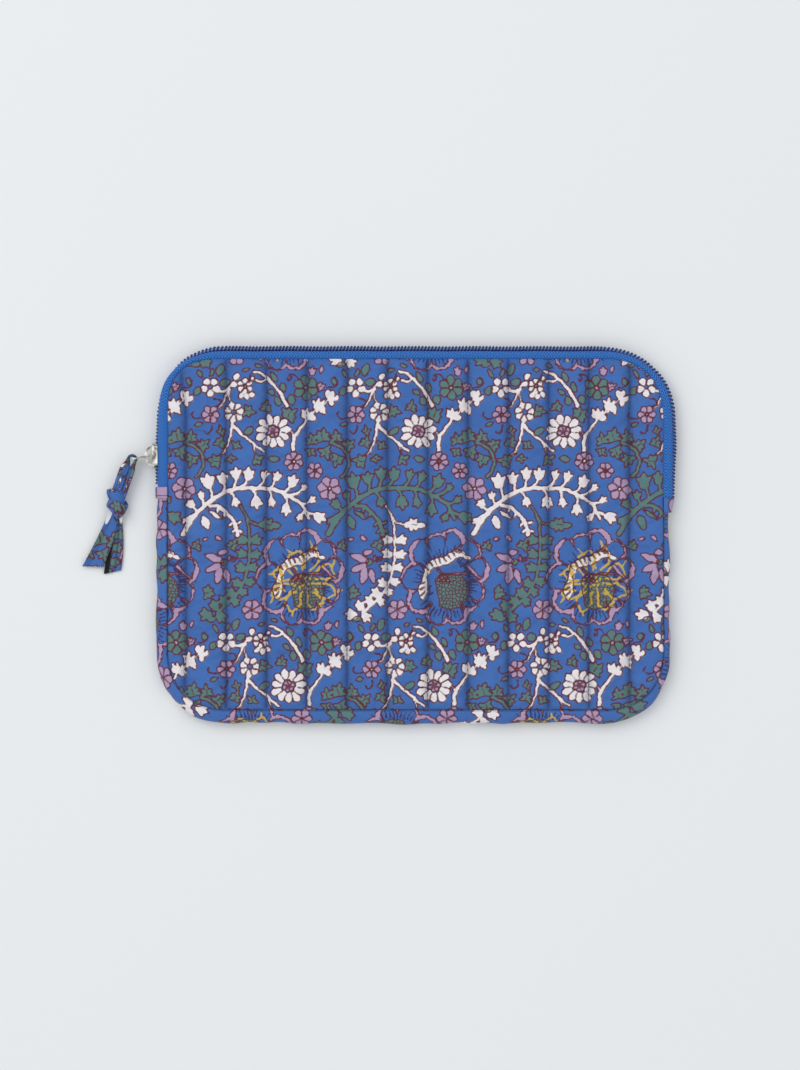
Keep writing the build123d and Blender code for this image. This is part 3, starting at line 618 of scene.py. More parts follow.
def tube_faces(rings, cols, closed=False, start=0):
    """Rings of cols points in a row, closed into a loop or with a cap at each end."""
    faces = [grid_faces(rings, cols, closed, True, start)]
    if not closed:
        faces += [cap_faces(cols, 0, start), cap_faces(cols, rings - 1, start, flip=True)]
    return faces


def set_print(obj, u, v, painted_shade=0.0):
    """Stores the print at each vertex, whose place on the printed cloth is (u, v).

    Its last number is the painted shade that darkens it in seams, folds and under edges, from 0 to 1."""
    set_vectors(obj, "cloth", xyz(u, v, painted_shade))
    read = block.read
    set_vectors(obj, "print_fill", xyz(read("white", u, v, (0.35, -0.28)), read("green", u, v, (0.15, -0.1)),
                                       read("mauve", u, v, (0.1, 0.15))))
    set_vectors(obj, "print_edge", xyz(*(read(k, u, v) for k in ("white", "green", "mauve"))))
    set_vectors(obj, "print_more", xyz(*(read(k, u, v) for k in ("line", "hatch", "yellow"))))
    set_vectors(obj, "print_scales", xyz(read("scales", u, v), 0, 0))


def set_patch(obj, mauve, line):
    """Gives a small printed piece one mauve shape and one line, as distances."""
    none = np.full(len(mauve), FAR)
    for name, parts in (("print_fill", (none, none, mauve + 0.2)), ("print_edge", (none, none, mauve)),
                        ("print_more", (line, none, none)), ("print_scales", (none, none, none))):
        set_vectors(obj, name, xyz(*parts))


def edge_loft(name, s, section, material, body="shell", closed=False):
    """A strip round the edge. section(s) gives (n, z) points for every s, a closed ring.

    Gives the piece, and how far along and across the strip each vertex is."""
    ring = section(s)
    rows, cols = ring.shape[:2]
    x, y, nx, ny = (part[:, None] for part in outline(s))
    points = xyz(x + nx * ring[..., 0], y + ny * ring[..., 0], ring[..., 1])
    obj = make_piece(name, points.reshape(-1, 3), tube_faces(rows, cols, closed), material, body)
    steps = np.linalg.norm(np.diff(ring, axis=1), axis=-1)
    across = np.concatenate([np.zeros((rows, 1)), np.cumsum(steps, axis=1)], 1).ravel()
    along = np.repeat(s, cols)
    set_vectors(obj, "cloth", xyz(along, across, 0))
    return obj, along, across


def band(centre, thickness):
    """Closed rings of points about open lines of (n, z) points."""
    along = unit(np.gradient(centre, axis=1))
    side = xyz(-along[..., 1], along[..., 0]) * thickness / 2
    return np.concatenate([centre + side, (centre - side)[:, ::-1]], 1)


# ---- Materials -----------------------------------------------------------------------


def srgb(r, g, b):
    linear = []
    for value in (r, g, b):
        value /= 255
        linear.append(value / 12.92 if value <= 0.04045 else ((value + 0.055) / 1.055) ** 2.4)
    return (*linear, 1.0)


class Nodes:
    """Short ways to add the nodes of one material."""

    def __init__(self, name, roughness=0.85, sheen=0.0, metallic=0.0):
        self.material = bpy.data.materials.new(name)
        self.material.use_nodes = True
        self.tree = self.material.node_tree
        self.shader = self.tree.nodes["Principled BSDF"]
        self.shader.inputs["Roughness"].default_value = roughness
        self.shader.inputs["Metallic"].default_value = metallic
        self.shader.inputs["Sheen Weight"].default_value = sheen
        self.shader.inputs["Sheen Roughness"].default_value = 0.5

    def node(self, kind, **settings):
        node = self.tree.nodes.new(kind)
        for key, value in settings.items():
            setattr(node, key, value)
        return node

    def put(self, socket, value):
        if isinstance(value, bpy.types.NodeSocket):
            self.tree.links.new(value, socket)
        else:
            socket.default_value = value

    def math(self, operation, a, b=0.0, c=0.0):
        node = self.node("ShaderNodeMath", operation=operation)
        for socket, value in zip(node.inputs, (a, b, c)):
            self.put(socket, value)
        return node.outputs[0]

    def times(self, a, b):
        return self.math("MULTIPLY", a, b)

    def plus(self, a, b):
        return self.math("ADD", a, b)

    def wave(self, value, pitch):
        """A sine wave of the value."""
        return self.math("SINE", self.times(value, 2 * math.pi / pitch))

    def below(self, value, edge, soft):
        """1 where the value is under an edge, 0 above it, with a soft step between."""
        return self.scaled(value, (edge - soft, edge + soft), (1.0, 0.0))

    def scaled(self, value, given, wanted):
        """The value, brought from one range to another and kept inside it."""
        node = self.node("ShaderNodeMapRange")
        self.put(node.inputs["Value"], value)
        for key, number in zip(("From Min", "From Max", "To Min", "To Max"), (*given, *wanted)):
            node.inputs[key].default_value = number
        return node.outputs[0]

    def mix(self, factor, a, b, blend="MIX"):
        node = self.node("ShaderNodeMix", data_type="RGBA", blend_type=blend)
        self.put(node.inputs[0], factor)
        self.put(node.inputs[6], a)
        self.put(node.inputs[7], b)
        return node.outputs[2]

    def attribute(self, name):
        return self.node("ShaderNodeAttribute", attribute_name=name).outputs["Vector"]

    def parts(self, vector):
        node = self.node("ShaderNodeSeparateXYZ")
        self.put(node.inputs[0], vector)
        return node.outputs

    def noise(self, where, scale, detail=2.0, stretch=None):
        if stretch:
            node = self.node("ShaderNodeMapping")
            self.put(node.inputs["Vector"], where)
            node.inputs["Scale"].default_value = stretch
            where = node.outputs[0]
        node = self.node("ShaderNodeTexNoise")
        self.put(node.inputs["Vector"], where)
        node.inputs["Scale"].default_value = scale
        node.inputs["Detail"].default_value = detail
        return node.outputs["Fac"]

    def weave(self, where, pitch):
        """The height of a plain weave, with its threads pitch millimetres apart."""
        across, along = self.parts(where)[:2]
        return self.times(self.wave(across, pitch), self.wave(along, pitch))

    def bump(self, height, strength, distance):
        node = self.node("ShaderNodeBump")
        node.inputs["Strength"].default_value = strength
        node.inputs["Distance"].default_value = distance
        self.put(node.inputs["Height"], height)
        self.put(self.shader.inputs["Normal"], node.outputs[0])

    def colour(self, value):
        self.put(self.shader.inputs["Base Color"], value)


GROUND = srgb(65, 112, 183)
GROUND_DEEP = srgb(52, 92, 160)
WHITE = srgb(229, 223, 225)
GREEN = srgb(84, 120, 120)
MAUVE = srgb(172, 146, 180)
YELLOW = srgb(202, 168, 62)
LINE = srgb(90, 27, 38)
HATCH = srgb(48, 34, 84)
WHITE_PART, GREEN_PART, MAUVE_PART = range(3)
LENGTHWISE, CROSSWISE = (1.0, 0.3, 1.0), (0.3, 1.0, 1.0)


def printed_cotton():
    m = Nodes("printed_cotton", roughness=0.88, sheen=0.12)
    cloth = m.attribute("cloth")
    rag = m.times(m.math("SUBTRACT", m.noise(cloth, 0.75, 3.0), 0.5), 0.55)
    fill = [m.plus(p, rag) for p in m.parts(m.attribute("print_fill"))[:3]]
    edge = [m.plus(p, rag) for p in m.parts(m.attribute("print_edge"))[:3]]
    line, hatch, yellow = (m.plus(p, rag) for p in m.parts(m.attribute("print_more"))[:3])
    inked = m.noise(cloth, 0.33, 2.0)
    colour = m.mix(m.noise(cloth, 0.045, 2.0), GROUND_DEEP, GROUND)
    colour = m.mix(m.times(m.below(hatch, 0.12, 0.15), 0.9), colour, HATCH)
    for part, dye in ((GREEN_PART, GREEN), (MAUVE_PART, MAUVE), (WHITE_PART, WHITE)):
        colour = m.mix(m.below(fill[part], 0.0, 0.18), colour, dye)
    press = m.plus(0.66, m.times(inked, 0.5))
    scales = m.node("ShaderNodeTexVoronoi", feature="DISTANCE_TO_EDGE", voronoi_dimensions="2D")
    m.put(scales.inputs["Vector"], cloth)
    scales.inputs["Scale"].default_value = 0.46
    scales.inputs["Randomness"].default_value = 0.85
    inside = m.below(m.parts(m.attribute("print_scales"))[0], -0.4, 0.3)
    drawn = m.times(m.below(scales.outputs["Distance"], 0.14, 0.06), inside)
    colour = m.mix(m.times(drawn, press), colour, LINE)
    colour = m.mix(m.times(m.below(yellow, 0.19, 0.15), 0.92), colour, YELLOW)
    for distance in (edge[GREEN_PART], edge[MAUVE_PART], edge[WHITE_PART]):
        ring = m.below(m.math("ABSOLUTE", m.math("SUBTRACT", distance, 0.05)), 0.43, 0.16)
        colour = m.mix(m.times(ring, press), colour, LINE)
    colour = m.mix(m.times(m.below(line, 0.21, 0.16), press), colour, LINE)
    # Thread by thread the dye takes unevenly.
    slub = m.plus(m.noise(cloth, 1.7, 1.0, LENGTHWISE), m.noise(cloth, 1.7, 1.0, CROSSWISE))
    value = m.plus(0.79, m.times(slub, 0.21))
    # Painted shade: the cloth's third number darkens the colour in seams, folds and under edges.
    painted_shade = m.parts(cloth)[2]
    value = m.times(value, m.math("SUBTRACT", 1.0, m.times(painted_shade, 0.5)))
    node = m.node("ShaderNodeHueSaturation")
    m.put(node.inputs["Color"], colour)
    m.put(node.inputs["Value"], value)
    m.colour(node.outputs[0])
    height = m.plus(m.times(m.weave(cloth, 0.9), 0.5), m.noise(cloth, 0.8, 3.0))
    m.bump(height, 0.35, 0.00018)
    return m.material


def plain_cloth(name, light, dark, pitch=0.8, roughness=0.88, sheen=0.1, bump=0.00018):
    m = Nodes(name, roughness=roughness, sheen=sheen)
    cloth = m.attribute("cloth")
    tone = m.plus(m.times(m.noise(cloth, 0.08, 3.0), 0.6),
                  m.times(m.noise(cloth, 1.8, 1.0, LENGTHWISE), 0.4))
    m.colour(m.mix(tone, dark, light))
    m.bump(m.plus(m.weave(cloth, pitch), m.noise(cloth, 1.2, 2.0)), 0.4, bump)
    return m.material


def tape_cloth():
    """Herringbone tape: ribs that change direction every few millimetres."""
    m = Nodes("zip_tape", roughness=0.85, sheen=0.04)
    cloth = m.attribute("cloth")
    along, across = m.parts(cloth)[:2]
    fold = m.math("PINGPONG", m.plus(across, 0.6), 2.6)
    ribs = m.wave(m.plus(along, fold), 1.9)
    tone = m.plus(m.times(ribs, 0.5), m.noise(cloth, 0.9, 2.0))
    m.colour(m.mix(tone, srgb(20, 78, 164), srgb(60, 136, 220)))
    m.bump(ribs, 0.8, 0.0004)
    return m.material


def coil_plastic():
    """Dark nylon, wound round a paler cord that shows between its turns."""
    m = Nodes("zip_coil", roughness=0.4)
    cloth = m.attribute("cloth")
    dark = m.mix(m.noise(cloth, 0.5, 2.0), srgb(6, 20, 80), srgb(20, 42, 118))
    m.colour(m.mix(m.parts(cloth)[2], dark, srgb(112, 144, 206)))
    m.bump(m.noise(cloth, 2.5, 1.0), 0.1, 0.00005)
    return m.material


def thread():
    m = Nodes("thread", roughness=0.6, sheen=0.15)
    cloth = m.attribute("cloth")
    along, across = m.parts(cloth)[:2]
    twist = m.wave(m.plus(along, across), 0.5)
    m.colour(m.mix(m.plus(0.5, m.times(twist, 0.3)), srgb(20, 40, 112), srgb(36, 66, 150)))
    m.bump(twist, 0.4, 0.0001)
    return m.material


def plated_metal():
    """Plated zinc: bright, with faint casting ripple, fine scuffs from use, and painted reflections in its
    colour.
    """
    m = Nodes("zip_metal", roughness=0.24, metallic=1.0)
    where = m.node("ShaderNodeTexCoord").outputs["Object"]
    scuffs = m.noise(where, 900.0, 3.0, (1.0, 0.25, 1.0))
    # Painted reflection: the colour is mottled at random from dark to bright, in place of reflected light and
    # dark.
    reflection_mottle = m.times(m.math("SUBTRACT", m.noise(where, 300.0, 2.0), 0.33), 3.2)
    m.colour(m.mix(reflection_mottle, srgb(122, 118, 110), srgb(240, 239, 234)))
    m.put(m.shader.inputs["Roughness"], m.scaled(m.noise(where, 420.0, 2.0), (0.0, 1.0), (0.12, 0.3)))
    m.bump(scuffs, 0.25, 0.00006)
    return m.material


block = make_block()
PRINTED = printed_cotton()
LINED = plain_cloth("lining_cotton", srgb(206, 210, 218), srgb(188, 194, 206))
BOUND = plain_cloth("binding", srgb(52, 92, 170), srgb(40, 74, 150), 1.0)
TAPED = tape_cloth()
COILED = coil_plastic()
THREADED = thread()
REVERSED = plain_cloth("cotton_reverse", srgb(240, 240, 242), srgb(204, 208, 220), 0.9)
METAL = plated_metal()

# ---- Quilted panels ------------------------------------------------------------------

ROW_PITCH, FIRST_ROW = 25.6, -146.0
ROW_X = FIRST_ROW + ROW_PITCH * np.arange(12)
PRINT_ORIGIN = (-72.0, -29.4)
SIM_STEP = 3.2
SIM_SCALE = 20.0
SIM_FRAMES = 26
SIM_X0, SIM_Y0 = FIRST_ROW - 4 * SIM_STEP, -HALF_Y
SIM_COLS, SIM_ROWS = 100, 71
# The cloth is held this near to a row of stitches, and this near to the rim.
PIN_SEAM, PIN_RIM = 0.4, 1.7
# How uneven the cloth starts, in the simulation's own metres.
FIRST_UNEVEN = 0.012
CLOTH_SETTINGS = dict(
    quality=6, mass=0.25, tension_stiffness=14, compression_stiffness=14, shear_stiffness=6,
    bending_stiffness=0.12, shrink_min=-0.045, shrink_max=-0.045, vertex_group_mass="seams",
    use_pressure=True, uniform_pressure_force=1.2)


def to_rows(x):
    """How far each x is from the nearest row of stitches."""
    return np.abs(x[..., None] - ROW_X).min(-1)


def quilt_cloth(seed):
    """The (dx, dy, dz) that the filled cover takes up between its seams, on a square grid."""
    rng = np.random.default_rng(seed)
    gx, gy = np.meshgrid(SIM_X0 + SIM_STEP * np.arange(SIM_COLS), SIM_Y0 + SIM_STEP * np.arange(SIM_ROWS))
    pinned = (to_rows(gx) < PIN_SEAM) | (inset(gx, gy) < PIN_RIM)
    flat = xyz(gx, gy, 0) * MM * SIM_SCALE
    start = flat.copy()
    start[..., 2] += np.where(pinned, 0, rng.uniform(0.0, FIRST_UNEVEN, gx.shape))
    mesh = bpy.data.meshes.new("quilt_sim")
    mesh.from_pydata(start.reshape(-1, 3).tolist(), [], grid_faces(SIM_ROWS, SIM_COLS)[:, ::-1].tolist())
    obj = bpy.data.objects.new("quilt_sim", mesh)
    bpy.context.scene.collection.objects.link(obj)
    group = obj.vertex_groups.new(name="seams")
    group.add(np.flatnonzero(pinned.ravel()).tolist(), 1.0, "REPLACE")
    cloth = obj.modifiers.new("cloth", "CLOTH")
    for key, value in CLOTH_SETTINGS.items():
        setattr(cloth.settings, key, value)
    cloth.settings.effector_weights.gravity = 0.0
    cloth.collision_settings.use_collision = False
    cloth.collision_settings.use_self_collision = False
    cloth.point_cache.frame_start, cloth.point_cache.frame_end = 1, SIM_FRAMES
    for number in range(1, SIM_FRAMES + 1):
        bpy.context.scene.frame_set(number)
    shaped = obj.evaluated_get(bpy.context.evaluated_depsgraph_get()).data
    places = np.empty(len(shaped.vertices) * 3)
    shaped.vertices.foreach_get("co", places)
    moved = (places.reshape(SIM_ROWS, SIM_COLS, 3) - flat) / (MM * SIM_SCALE)
    moved[pinned] = 0
    bpy.context.scene.frame_set(1)
    bpy.data.objects.remove(obj)
    return moved


def sample(field, x, y):
    """Smooth values of a field on the square grid, at any points."""
    u = np.clip((x - SIM_X0) / SIM_STEP, 0, SIM_COLS - 1.001)
    v = np.clip((y - SIM_Y0) / SIM_STEP, 0, SIM_ROWS - 1.001)
    c, r = np.floor(u).astype(int), np.floor(v).astype(int)

    def weights(t):
        return ((-t + 2 * t**2 - t**3) / 2, (2 - 5 * t**2 + 3 * t**3) / 2,
                (t + 4 * t**2 - 3 * t**3) / 2, (t**3 - t**2) / 2)

    total = 0
    for i, wy in enumerate(weights(v - r)):
        rr = np.clip(r + i - 1, 0, SIM_ROWS - 1)
        for j, wx in enumerate(weights(u - c)):
            cc = np.clip(c + j - 1, 0, SIM_COLS - 1)
            total = total + (wy * wx)[..., None] * field[rr, cc]
    return total


def panel_rows(step):
    """Heights of a panel's rows of vertices, closer together at the round corners."""
    arc = np.linspace(0, math.pi / 2, round(ARC / step) + 1)
    top = STRAIGHT_Y + CORNER * np.sin(arc)
    middle = np.linspace(-STRAIGHT_Y, STRAIGHT_Y, round(2 * STRAIGHT_Y / step) + 1)
    return np.concatenate([-top[:0:-1], middle, top[1:]])


def panel_grid(step):
    y = panel_rows(step)
    over = np.maximum(np.abs(y) - STRAIGHT_Y, 0)
    half = STRAIGHT_X + np.sqrt(np.maximum(CORNER**2 - over**2, 0))
    u = np.linspace(-1, 1, round(2 * HALF_X / step) + 1)
    return half[:, None] * u[None], np.repeat(y[:, None], len(u), 1)


SEAM_DEPTH = 1.05
PUFF = 2.5


def relief(field, x, y, turn=1.0):
    """How far the cover lies sideways and up from its seams' level."""
    move = sample(field, turn * x, y)
    to_row = to_rows(turn * x)
    rise = move[..., 2] - SEAM_DEPTH * np.exp(-(to_row / 1.9) ** 2)
    # Small gathers where the stitches pull the cover in.
    gather = np.sin(turn * 1.9 * y + 2.4 * np.sin(0.21 * y + 0.13 * x) + 0.5 * x)
    rise = rise + 0.17 * gather * np.exp(-((to_row - 2.2) / 2.8) ** 2)
    inside = inset(x, y)
    rise = rise * np.clip(inside / 4.5, 0, 1) ** 0.7
    edge = np.clip(1 - inside / 3.4, 0, 1)
    return move[..., 0], move[..., 1], rise - 0.9 * edge**2


def normalised(field):
    """The simulated rise, brought to the puff that the photograph shows and capped."""
    high = np.percentile(field[..., 2], 90)
    field = field * PUFF / max(high, 1e-6)
    field[..., :2] = np.clip(0.6 * field[..., :2], -0.8, 0.8)
    field[..., 2] = np.clip(field[..., 2], -0.5, 3.0)
    return field


FRONT_SEAM_Z = 12.7
FRONT_UNDER_Z = 11.15
BACK_SEAM_Z = 1.3
BACK_UNDER_Z = 2.5
GRID_MM = 0.87


def quilted_panel(name, field, up, turn=1.0):
    """A closed quilted panel: printed cover outside, and its flat underside."""
    x, y = panel_grid(GRID_MM)
    dx, dy, rise = relief(field, x, y, turn)
    if up:
        z, under = FRONT_SEAM_Z + rise, FRONT_UNDER_Z
    else:
        # The back lies on its puffs, which the table flattens.
        rise = np.minimum(rise, 1.15 + 0.12 * np.tanh((rise - 1.15) / 0.12))
        z, under = np.maximum(BACK_SEAM_Z - rise, 0.05), BACK_UNDER_Z
    rows, cols = x.shape
    top = xyz(x + turn * dx, y + dy, z).reshape(-1, 3)
    faces = [grid_faces(rows, cols)]
    # Rim, all the way round, down to the underside.
    ring = rim_ring(rows, cols)
    rim = top[ring]
    rim[:, 2] = under
    start, n = rows * cols, len(ring)
    i = np.arange(n)
    j = (i + 1) % n
    faces.append(np.stack([ring[i], start + i, start + j, ring[j]], -1))
    # Underside: strips from side to side, so that it folds with the cover above it.
    row = np.arange(1, rows - 1)
    left, right = start + (n - row) % n, start + cols - 1 + row
    faces.append(np.stack([left[:-1], left[1:], right[1:], right[:-1]], -1))
    low, high = start + np.arange(cols), start + cols + rows - 2 + np.arange(cols)[::-1]
    for edge, a, b in ((low, left[0], right[0]), (high, left[-1], right[-1])):
        corner = np.full(cols - 1, a)
        faces.append(np.stack([corner, edge[1:], edge[:-1]], -1))
        faces.append(np.array([[a, b, edge[-1]]]))
    points = np.vstack([top, rim])
    to_row = to_rows(turn * points[:, 0])
    inside = inset(points[:, 0], points[:, 1])
    points[:, :2] += xyz(*swell(points[:, 0], points[:, 1]))
    obj = make_piece(name, points, faces, PRINTED, None)
    # Painted shade along each row of stitches and round the rim, where the cover dips.
    painted_shade = np.exp(-(to_row / 1.0) ** 2) * 0.8 + np.exp(-(to_row / 3.2) ** 2) * 0.35
    painted_shade = np.maximum(painted_shade * np.clip(inside / 2, 0, 1), np.clip(1 - inside / 1.2, 0, 1))
    set_print(obj, turn * points[:, 0] - PRINT_ORIGIN[0], points[:, 1] - PRINT_ORIGIN[1],
              np.clip(painted_shade, 0, 1))
    return obj


FOLD = dict(start=(0, 0.060, 0.0128), end=(0, 0.084, 0.0128))


def folds(obj):
    """The front bends along the mouth's fold line when the flap opens."""
    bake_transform(obj, "shell", "mouth_flap", **FOLD)


front_field = normalised(quilt_cloth(11))
back_field = normalised(quilt_cloth(23))

front_panel = quilted_panel("front_panel", front_field, up=True)
folds(front_panel)
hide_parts("front_cover_lower", "front_cover_upper", "front_wadding_lower",
            "front_wadding_upper")

back_panel = quilted_panel("back_panel", back_field, up=False, turn=-1.0)
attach(back_panel, "shell")
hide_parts("back_cover", "back_wadding")


def capsules(name, ends, radius_x, radius_z, material):
    """Short round-ended stitches from one point to another."""
    sides, rings = 6, ((0.0, 0.35), (0.12, 0.85), (0.5, 1.0), (0.88, 0.85), (1.0, 0.35))
    start, along = ends[:, 0], ends[:, 1] - ends[:, 0]
    side = np.cross(unit(along), UP)
    turn = circle(sides)
    points = []
    for t, size in rings:
        sag = UP * -0.22 * (2 * t - 1) ** 2
        points.append((start + t * along)[:, None] + sag + size * (
            side[:, None] * (np.cos(turn) * radius_x)[None, :, None]
            + UP * (np.sin(turn) * radius_z)[None, :, None]))
    points = np.stack(points, 1).reshape(-1, 3)
    per = len(rings) * sides
    base = (np.arange(len(ends)) * per)[:, None, None]
    cap = np.array([[0, 1, 2, 3], [0, 3, 4, 5]])
    faces = [(base + part).reshape(-1, 4)
             for part in (grid_faces(len(rings), sides, wrap_cols=True), cap, cap + per - sides)]
    obj = make_piece(name, points, faces, material, None)
    set_vectors(obj, "cloth", xyz(points[:, 1], points[:, 0], 0))
    return obj


STITCH, STITCH_PITCH = 2.5, 3.2


def quilt_stitches(name, field, up, turn=1.0):
    """A running stitch down every row, laid on the cover where it dips."""
    ends = []
    for x in turn * ROW_X:
        over = max(abs(x) - STRAIGHT_X, 0)
        reach = STRAIGHT_Y + math.sqrt(CORNER**2 - over**2) - 1.4
        count = int(2 * reach / STITCH_PITCH)
        for y in -reach + STITCH_PITCH * (np.arange(count) + 0.2):
            ends.append(((x, y, 0), (x, y + STITCH, 0)))
    ends = np.array(ends)
    rise = relief(field, ends[..., 0], ends[..., 1], turn)[2]
    if up:
        ends[..., 2] = FRONT_SEAM_Z + rise + 0.16
    else:
        ends[..., 2] = np.maximum(BACK_SEAM_Z - rise - 0.16, 0.25)
    ends[..., :2] += xyz(*swell(ends[..., 0], ends[..., 1]))
    return capsules(name, ends, 0.30, 0.24, THREADED)


front_stitches = quilt_stitches("front_quilt_stitches", front_field, True)
folds(front_stitches)
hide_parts("front_quilt_stitching_lower", "front_quilt_stitching_upper")
back_stitches = quilt_stitches("back_quilt_stitches", back_field, False, -1.0)
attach(back_stitches, "shell")
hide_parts("back_quilt_stitching")

# ---- Linings and bindings ------------------------------------------------------------


def lining(name, low, high, face_up):
    """The lining of one panel, dimpled along the quilting rows."""
    x, y = panel_grid(2.6)
    x, y = x * (1 - 1.0 / HALF_X), y * (1 - 1.0 / HALF_Y)
    dimple = 0.16 * np.exp(-(to_rows(x) / 1.8) ** 2) + 0.05 * np.sin(0.9 * y + 0.2 * x)
    dx, dy = swell(x, y)
    x, y = x + dx, y + dy
    shown, hidden, sign = (high, low, -1) if face_up else (low, high, 1)
    points = np.vstack([xyz(x, y, shown + sign * (0.05 + dimple)).reshape(-1, 3),
                        xyz(x, y, hidden).reshape(-1, 3)])
    obj = make_piece(name, points, slab_faces(*x.shape), LINED, None)
    set_vectors(obj, "cloth", xyz(points[:, 0], points[:, 1], 0))
    return obj


front_lining = lining("front_lining", 10.42, 11.0, face_up=False)
folds(front_lining)
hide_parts("front_lining_lower", "front_lining_upper")
back_lining = lining("back_lining_cloth", 2.6, 3.18, face_up=True)
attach(back_lining, "shell")
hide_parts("back_lining")


def around(step, start=0.0, end=AROUND, closed=True):
    count = round((end - start) / step)
    return np.linspace(start, end, count, endpoint=False) if closed else np.linspace(start, end, count + 1)


def binding(low, high):
    def section(s):
        middle, half = (low + high) / 2, (high - low) / 2
        t = circle(12)
        n = -2.3 + 1.95 * softened(np.cos(t), 0.6)
        z = middle + half * 0.96 * softened(np.sin(t), 0.7)
        return xyz(n + 0.12 * np.sin(0.31 * s)[:, None], z)
    return section


front_binding, _, _ = edge_loft("front_binding", around(2.0), binding(9.2, 10.4), BOUND,
                                None, closed=True)
folds(front_binding)
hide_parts("front_seam_binding_lower", "front_seam_binding_upper")
back_binding, _, _ = edge_loft("back_binding", around(2.0), binding(3.2, 4.4), BOUND,
                               closed=True)
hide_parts("back_seam_binding")

# ---- Gusset and end tabs -------------------------------------------------------------

EDGE_Z = 6.8
GUSSET_START, GUSSET_END = -23.0, RIGHT_MIDDLE + 14.0
FLOWER_S = STRAIGHT_Y + ARC + (STRAIGHT_X - 104.0)


def side_reach(s, left, right, level):
    """A distance that changes smoothly from one side of the sleeve to the next."""
    _, _, nx, ny = outline(s)
    return np.where(nx < 0, left, right) * nx**2 + level * ny**2


def gusset_reach(s):
    pucker = (0.34 * np.sin(s / 4.1 + 2.0 * np.sin(s / 23)) + 0.3 * np.sin(s / 9.7 + 1)
              + 0.35 * np.sin(s / 31))
    return side_reach(s, 6.6, 3.4, 8.4) + pucker


def half_round(reach, radius_z, count):
    """The strip's section: out from the front's seam, round, and back to the back's."""
    t = np.linspace(math.pi / 2, -math.pi / 2, count)
    return xyz(-0.4 + (reach[:, None] + 0.6) * np.abs(np.cos(t)) ** 0.8, EDGE_Z + radius_z * np.sin(t))


def gusset_section(s):
    outer = half_round(gusset_reach(s), 5.95, 27)
    t = np.linspace(0, 1, 27)
    # Gathers run in from both seams and fade out at the middle.
    seam = np.abs(2 * t - 1)[None] ** 1.5
    outer[..., 0] += 0.22 * np.sin(s / 1.35 + 3 * np.sin(s / 11))[:, None] * seam * np.sin(
        math.pi * t)[None]
    inner = half_round(gusset_reach(s) - 0.75, 5.3, 9)
    return np.concatenate([outer, inner[:, ::-1]], 1)


def gusset_lining_section(s):
    outer = half_round(gusset_reach(s) - 0.85, 5.2, 9)
    inner = half_round(gusset_reach(s) - 1.35, 4.75, 9)
    return np.concatenate([outer, inner[:, ::-1]], 1)


gusset, s_at, across = edge_loft("gusset", around(0.95, GUSSET_START, GUSSET_END, False),
                                 gusset_section, PRINTED)
# Painted shade along the gusset's top edge, where it steps over the front panel's seam.
set_print(gusset, -(s_at - FLOWER_S), -24.5 + across, np.clip(1 - across / 1.3, 0, 1))
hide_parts("gusset_strip")
gusset_lining, _, _ = edge_loft("gusset_lining_cloth", around(2.5, GUSSET_START, GUSSET_END, False),
                                gusset_lining_section, LINED)
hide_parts("gusset_lining")


def tab(name, start, end, reach, patch, line):
    """A fold of the printed cotton over the zip's end, with one mauve patch on it."""
    s = np.linspace(start, end, 19)
    at = np.linspace(-1, 1, 19)

    def section(s):
        soft = 0.45 * (1 - np.abs(at) ** 5)
        r = np.interp(at, (-1, 1), reach) + soft
        outer = half_round(r, 6.35, 25)
        outer[..., 1] += 0.25 * (1 - np.abs(at[:, None]) ** 5) * np.sign(outer[..., 1] - EDGE_Z)
        inner = half_round(r - 1.2, 5.6, 9)
        return np.concatenate([outer, inner[:, ::-1]], 1)

    obj, s_at, across = edge_loft(name, s, section, PRINTED)
    set_print(obj, s_at, across)
    middle, reach_s, reach_a = patch
    away = np.hypot((across - middle) / reach_a, (s_at - (start + end) / 2) / reach_s)
    set_patch(obj, (away - 1) * reach_a, np.abs(s_at - line) - 0.1)
    return obj


left_tab = tab("left_zip_end_tab", -30.0, -22.6, (7.2, 7.0), (1.6, 60.0, 6.6), -24.4)
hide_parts("zip_end_tab_left")
right_tab = tab("right_zip_end_tab", RIGHT_MIDDLE + 13.6, RIGHT_MIDDLE + 23.0, (4.6, 6.3),
                (6.6, 4.3, 3.4), 0.0)
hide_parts("zip_end_tab_right")

# ---- Zip -----------------------------------------------------------------------------

ZIP_START, ZIP_END = RIGHT_MIDDLE + 23.0, AROUND - 30.0
TAPE_LINE = ((-0.7, 11.9), (0.0, 12.55), (0.9, 12.95), (2.1, 13.1), (3.3, 12.8), (4.4, 12.1),
             (5.15, 11.1), (5.45, 9.9), (5.45, 8.6), (5.4, 7.7))
TAPE_EDGE = 5.45
# The coil's turns: half their width and height, how far apart, and their thread's radius.
COIL_HALF_X, COIL_HALF_Z, COIL_PITCH, COIL_RADIUS = 1.45, 1.42, 2.15, 0.5
COIL_RISE = 1.78
COIL_STEPS = 10


# How far out the tape's edge and the coil's middle lie, at distances from the right side's
# middle. The tape is drawn in along the top, and the coil goes in under it at the corners.
TAPE_REACH = ((23, 60, 74, 88, 104, 120, 140, 370, 382, 391, 406, 418, 431, 477),
              (5.2, 5.4, 5.2, 4.2, 2.9, 3.7, 4.1, 4.1, 4.0, 2.9, 2.8, 4.4, 5.5, 5.8))
COIL_REACH = ((23, 56, 80, 104, 120, 140, 370, 381, 391, 406, 418, 431, 446, 456, 477),
              (5.0, 6.3, 5.7, 3.5, 4.7, 5.8, 5.9, 5.7, 3.8, 1.3, 2.9, 5.0, 5.5, 5.8, 5.8))


def tape_reach(s):
    return np.interp(s - RIGHT_MIDDLE, *TAPE_REACH)


def coil_reach(s):
    return np.interp(s - RIGHT_MIDDLE, *COIL_REACH)


def ripple(s):
    """How the zip's edge waves in and out."""
    return 0.12 * np.sin(s / 6.3)


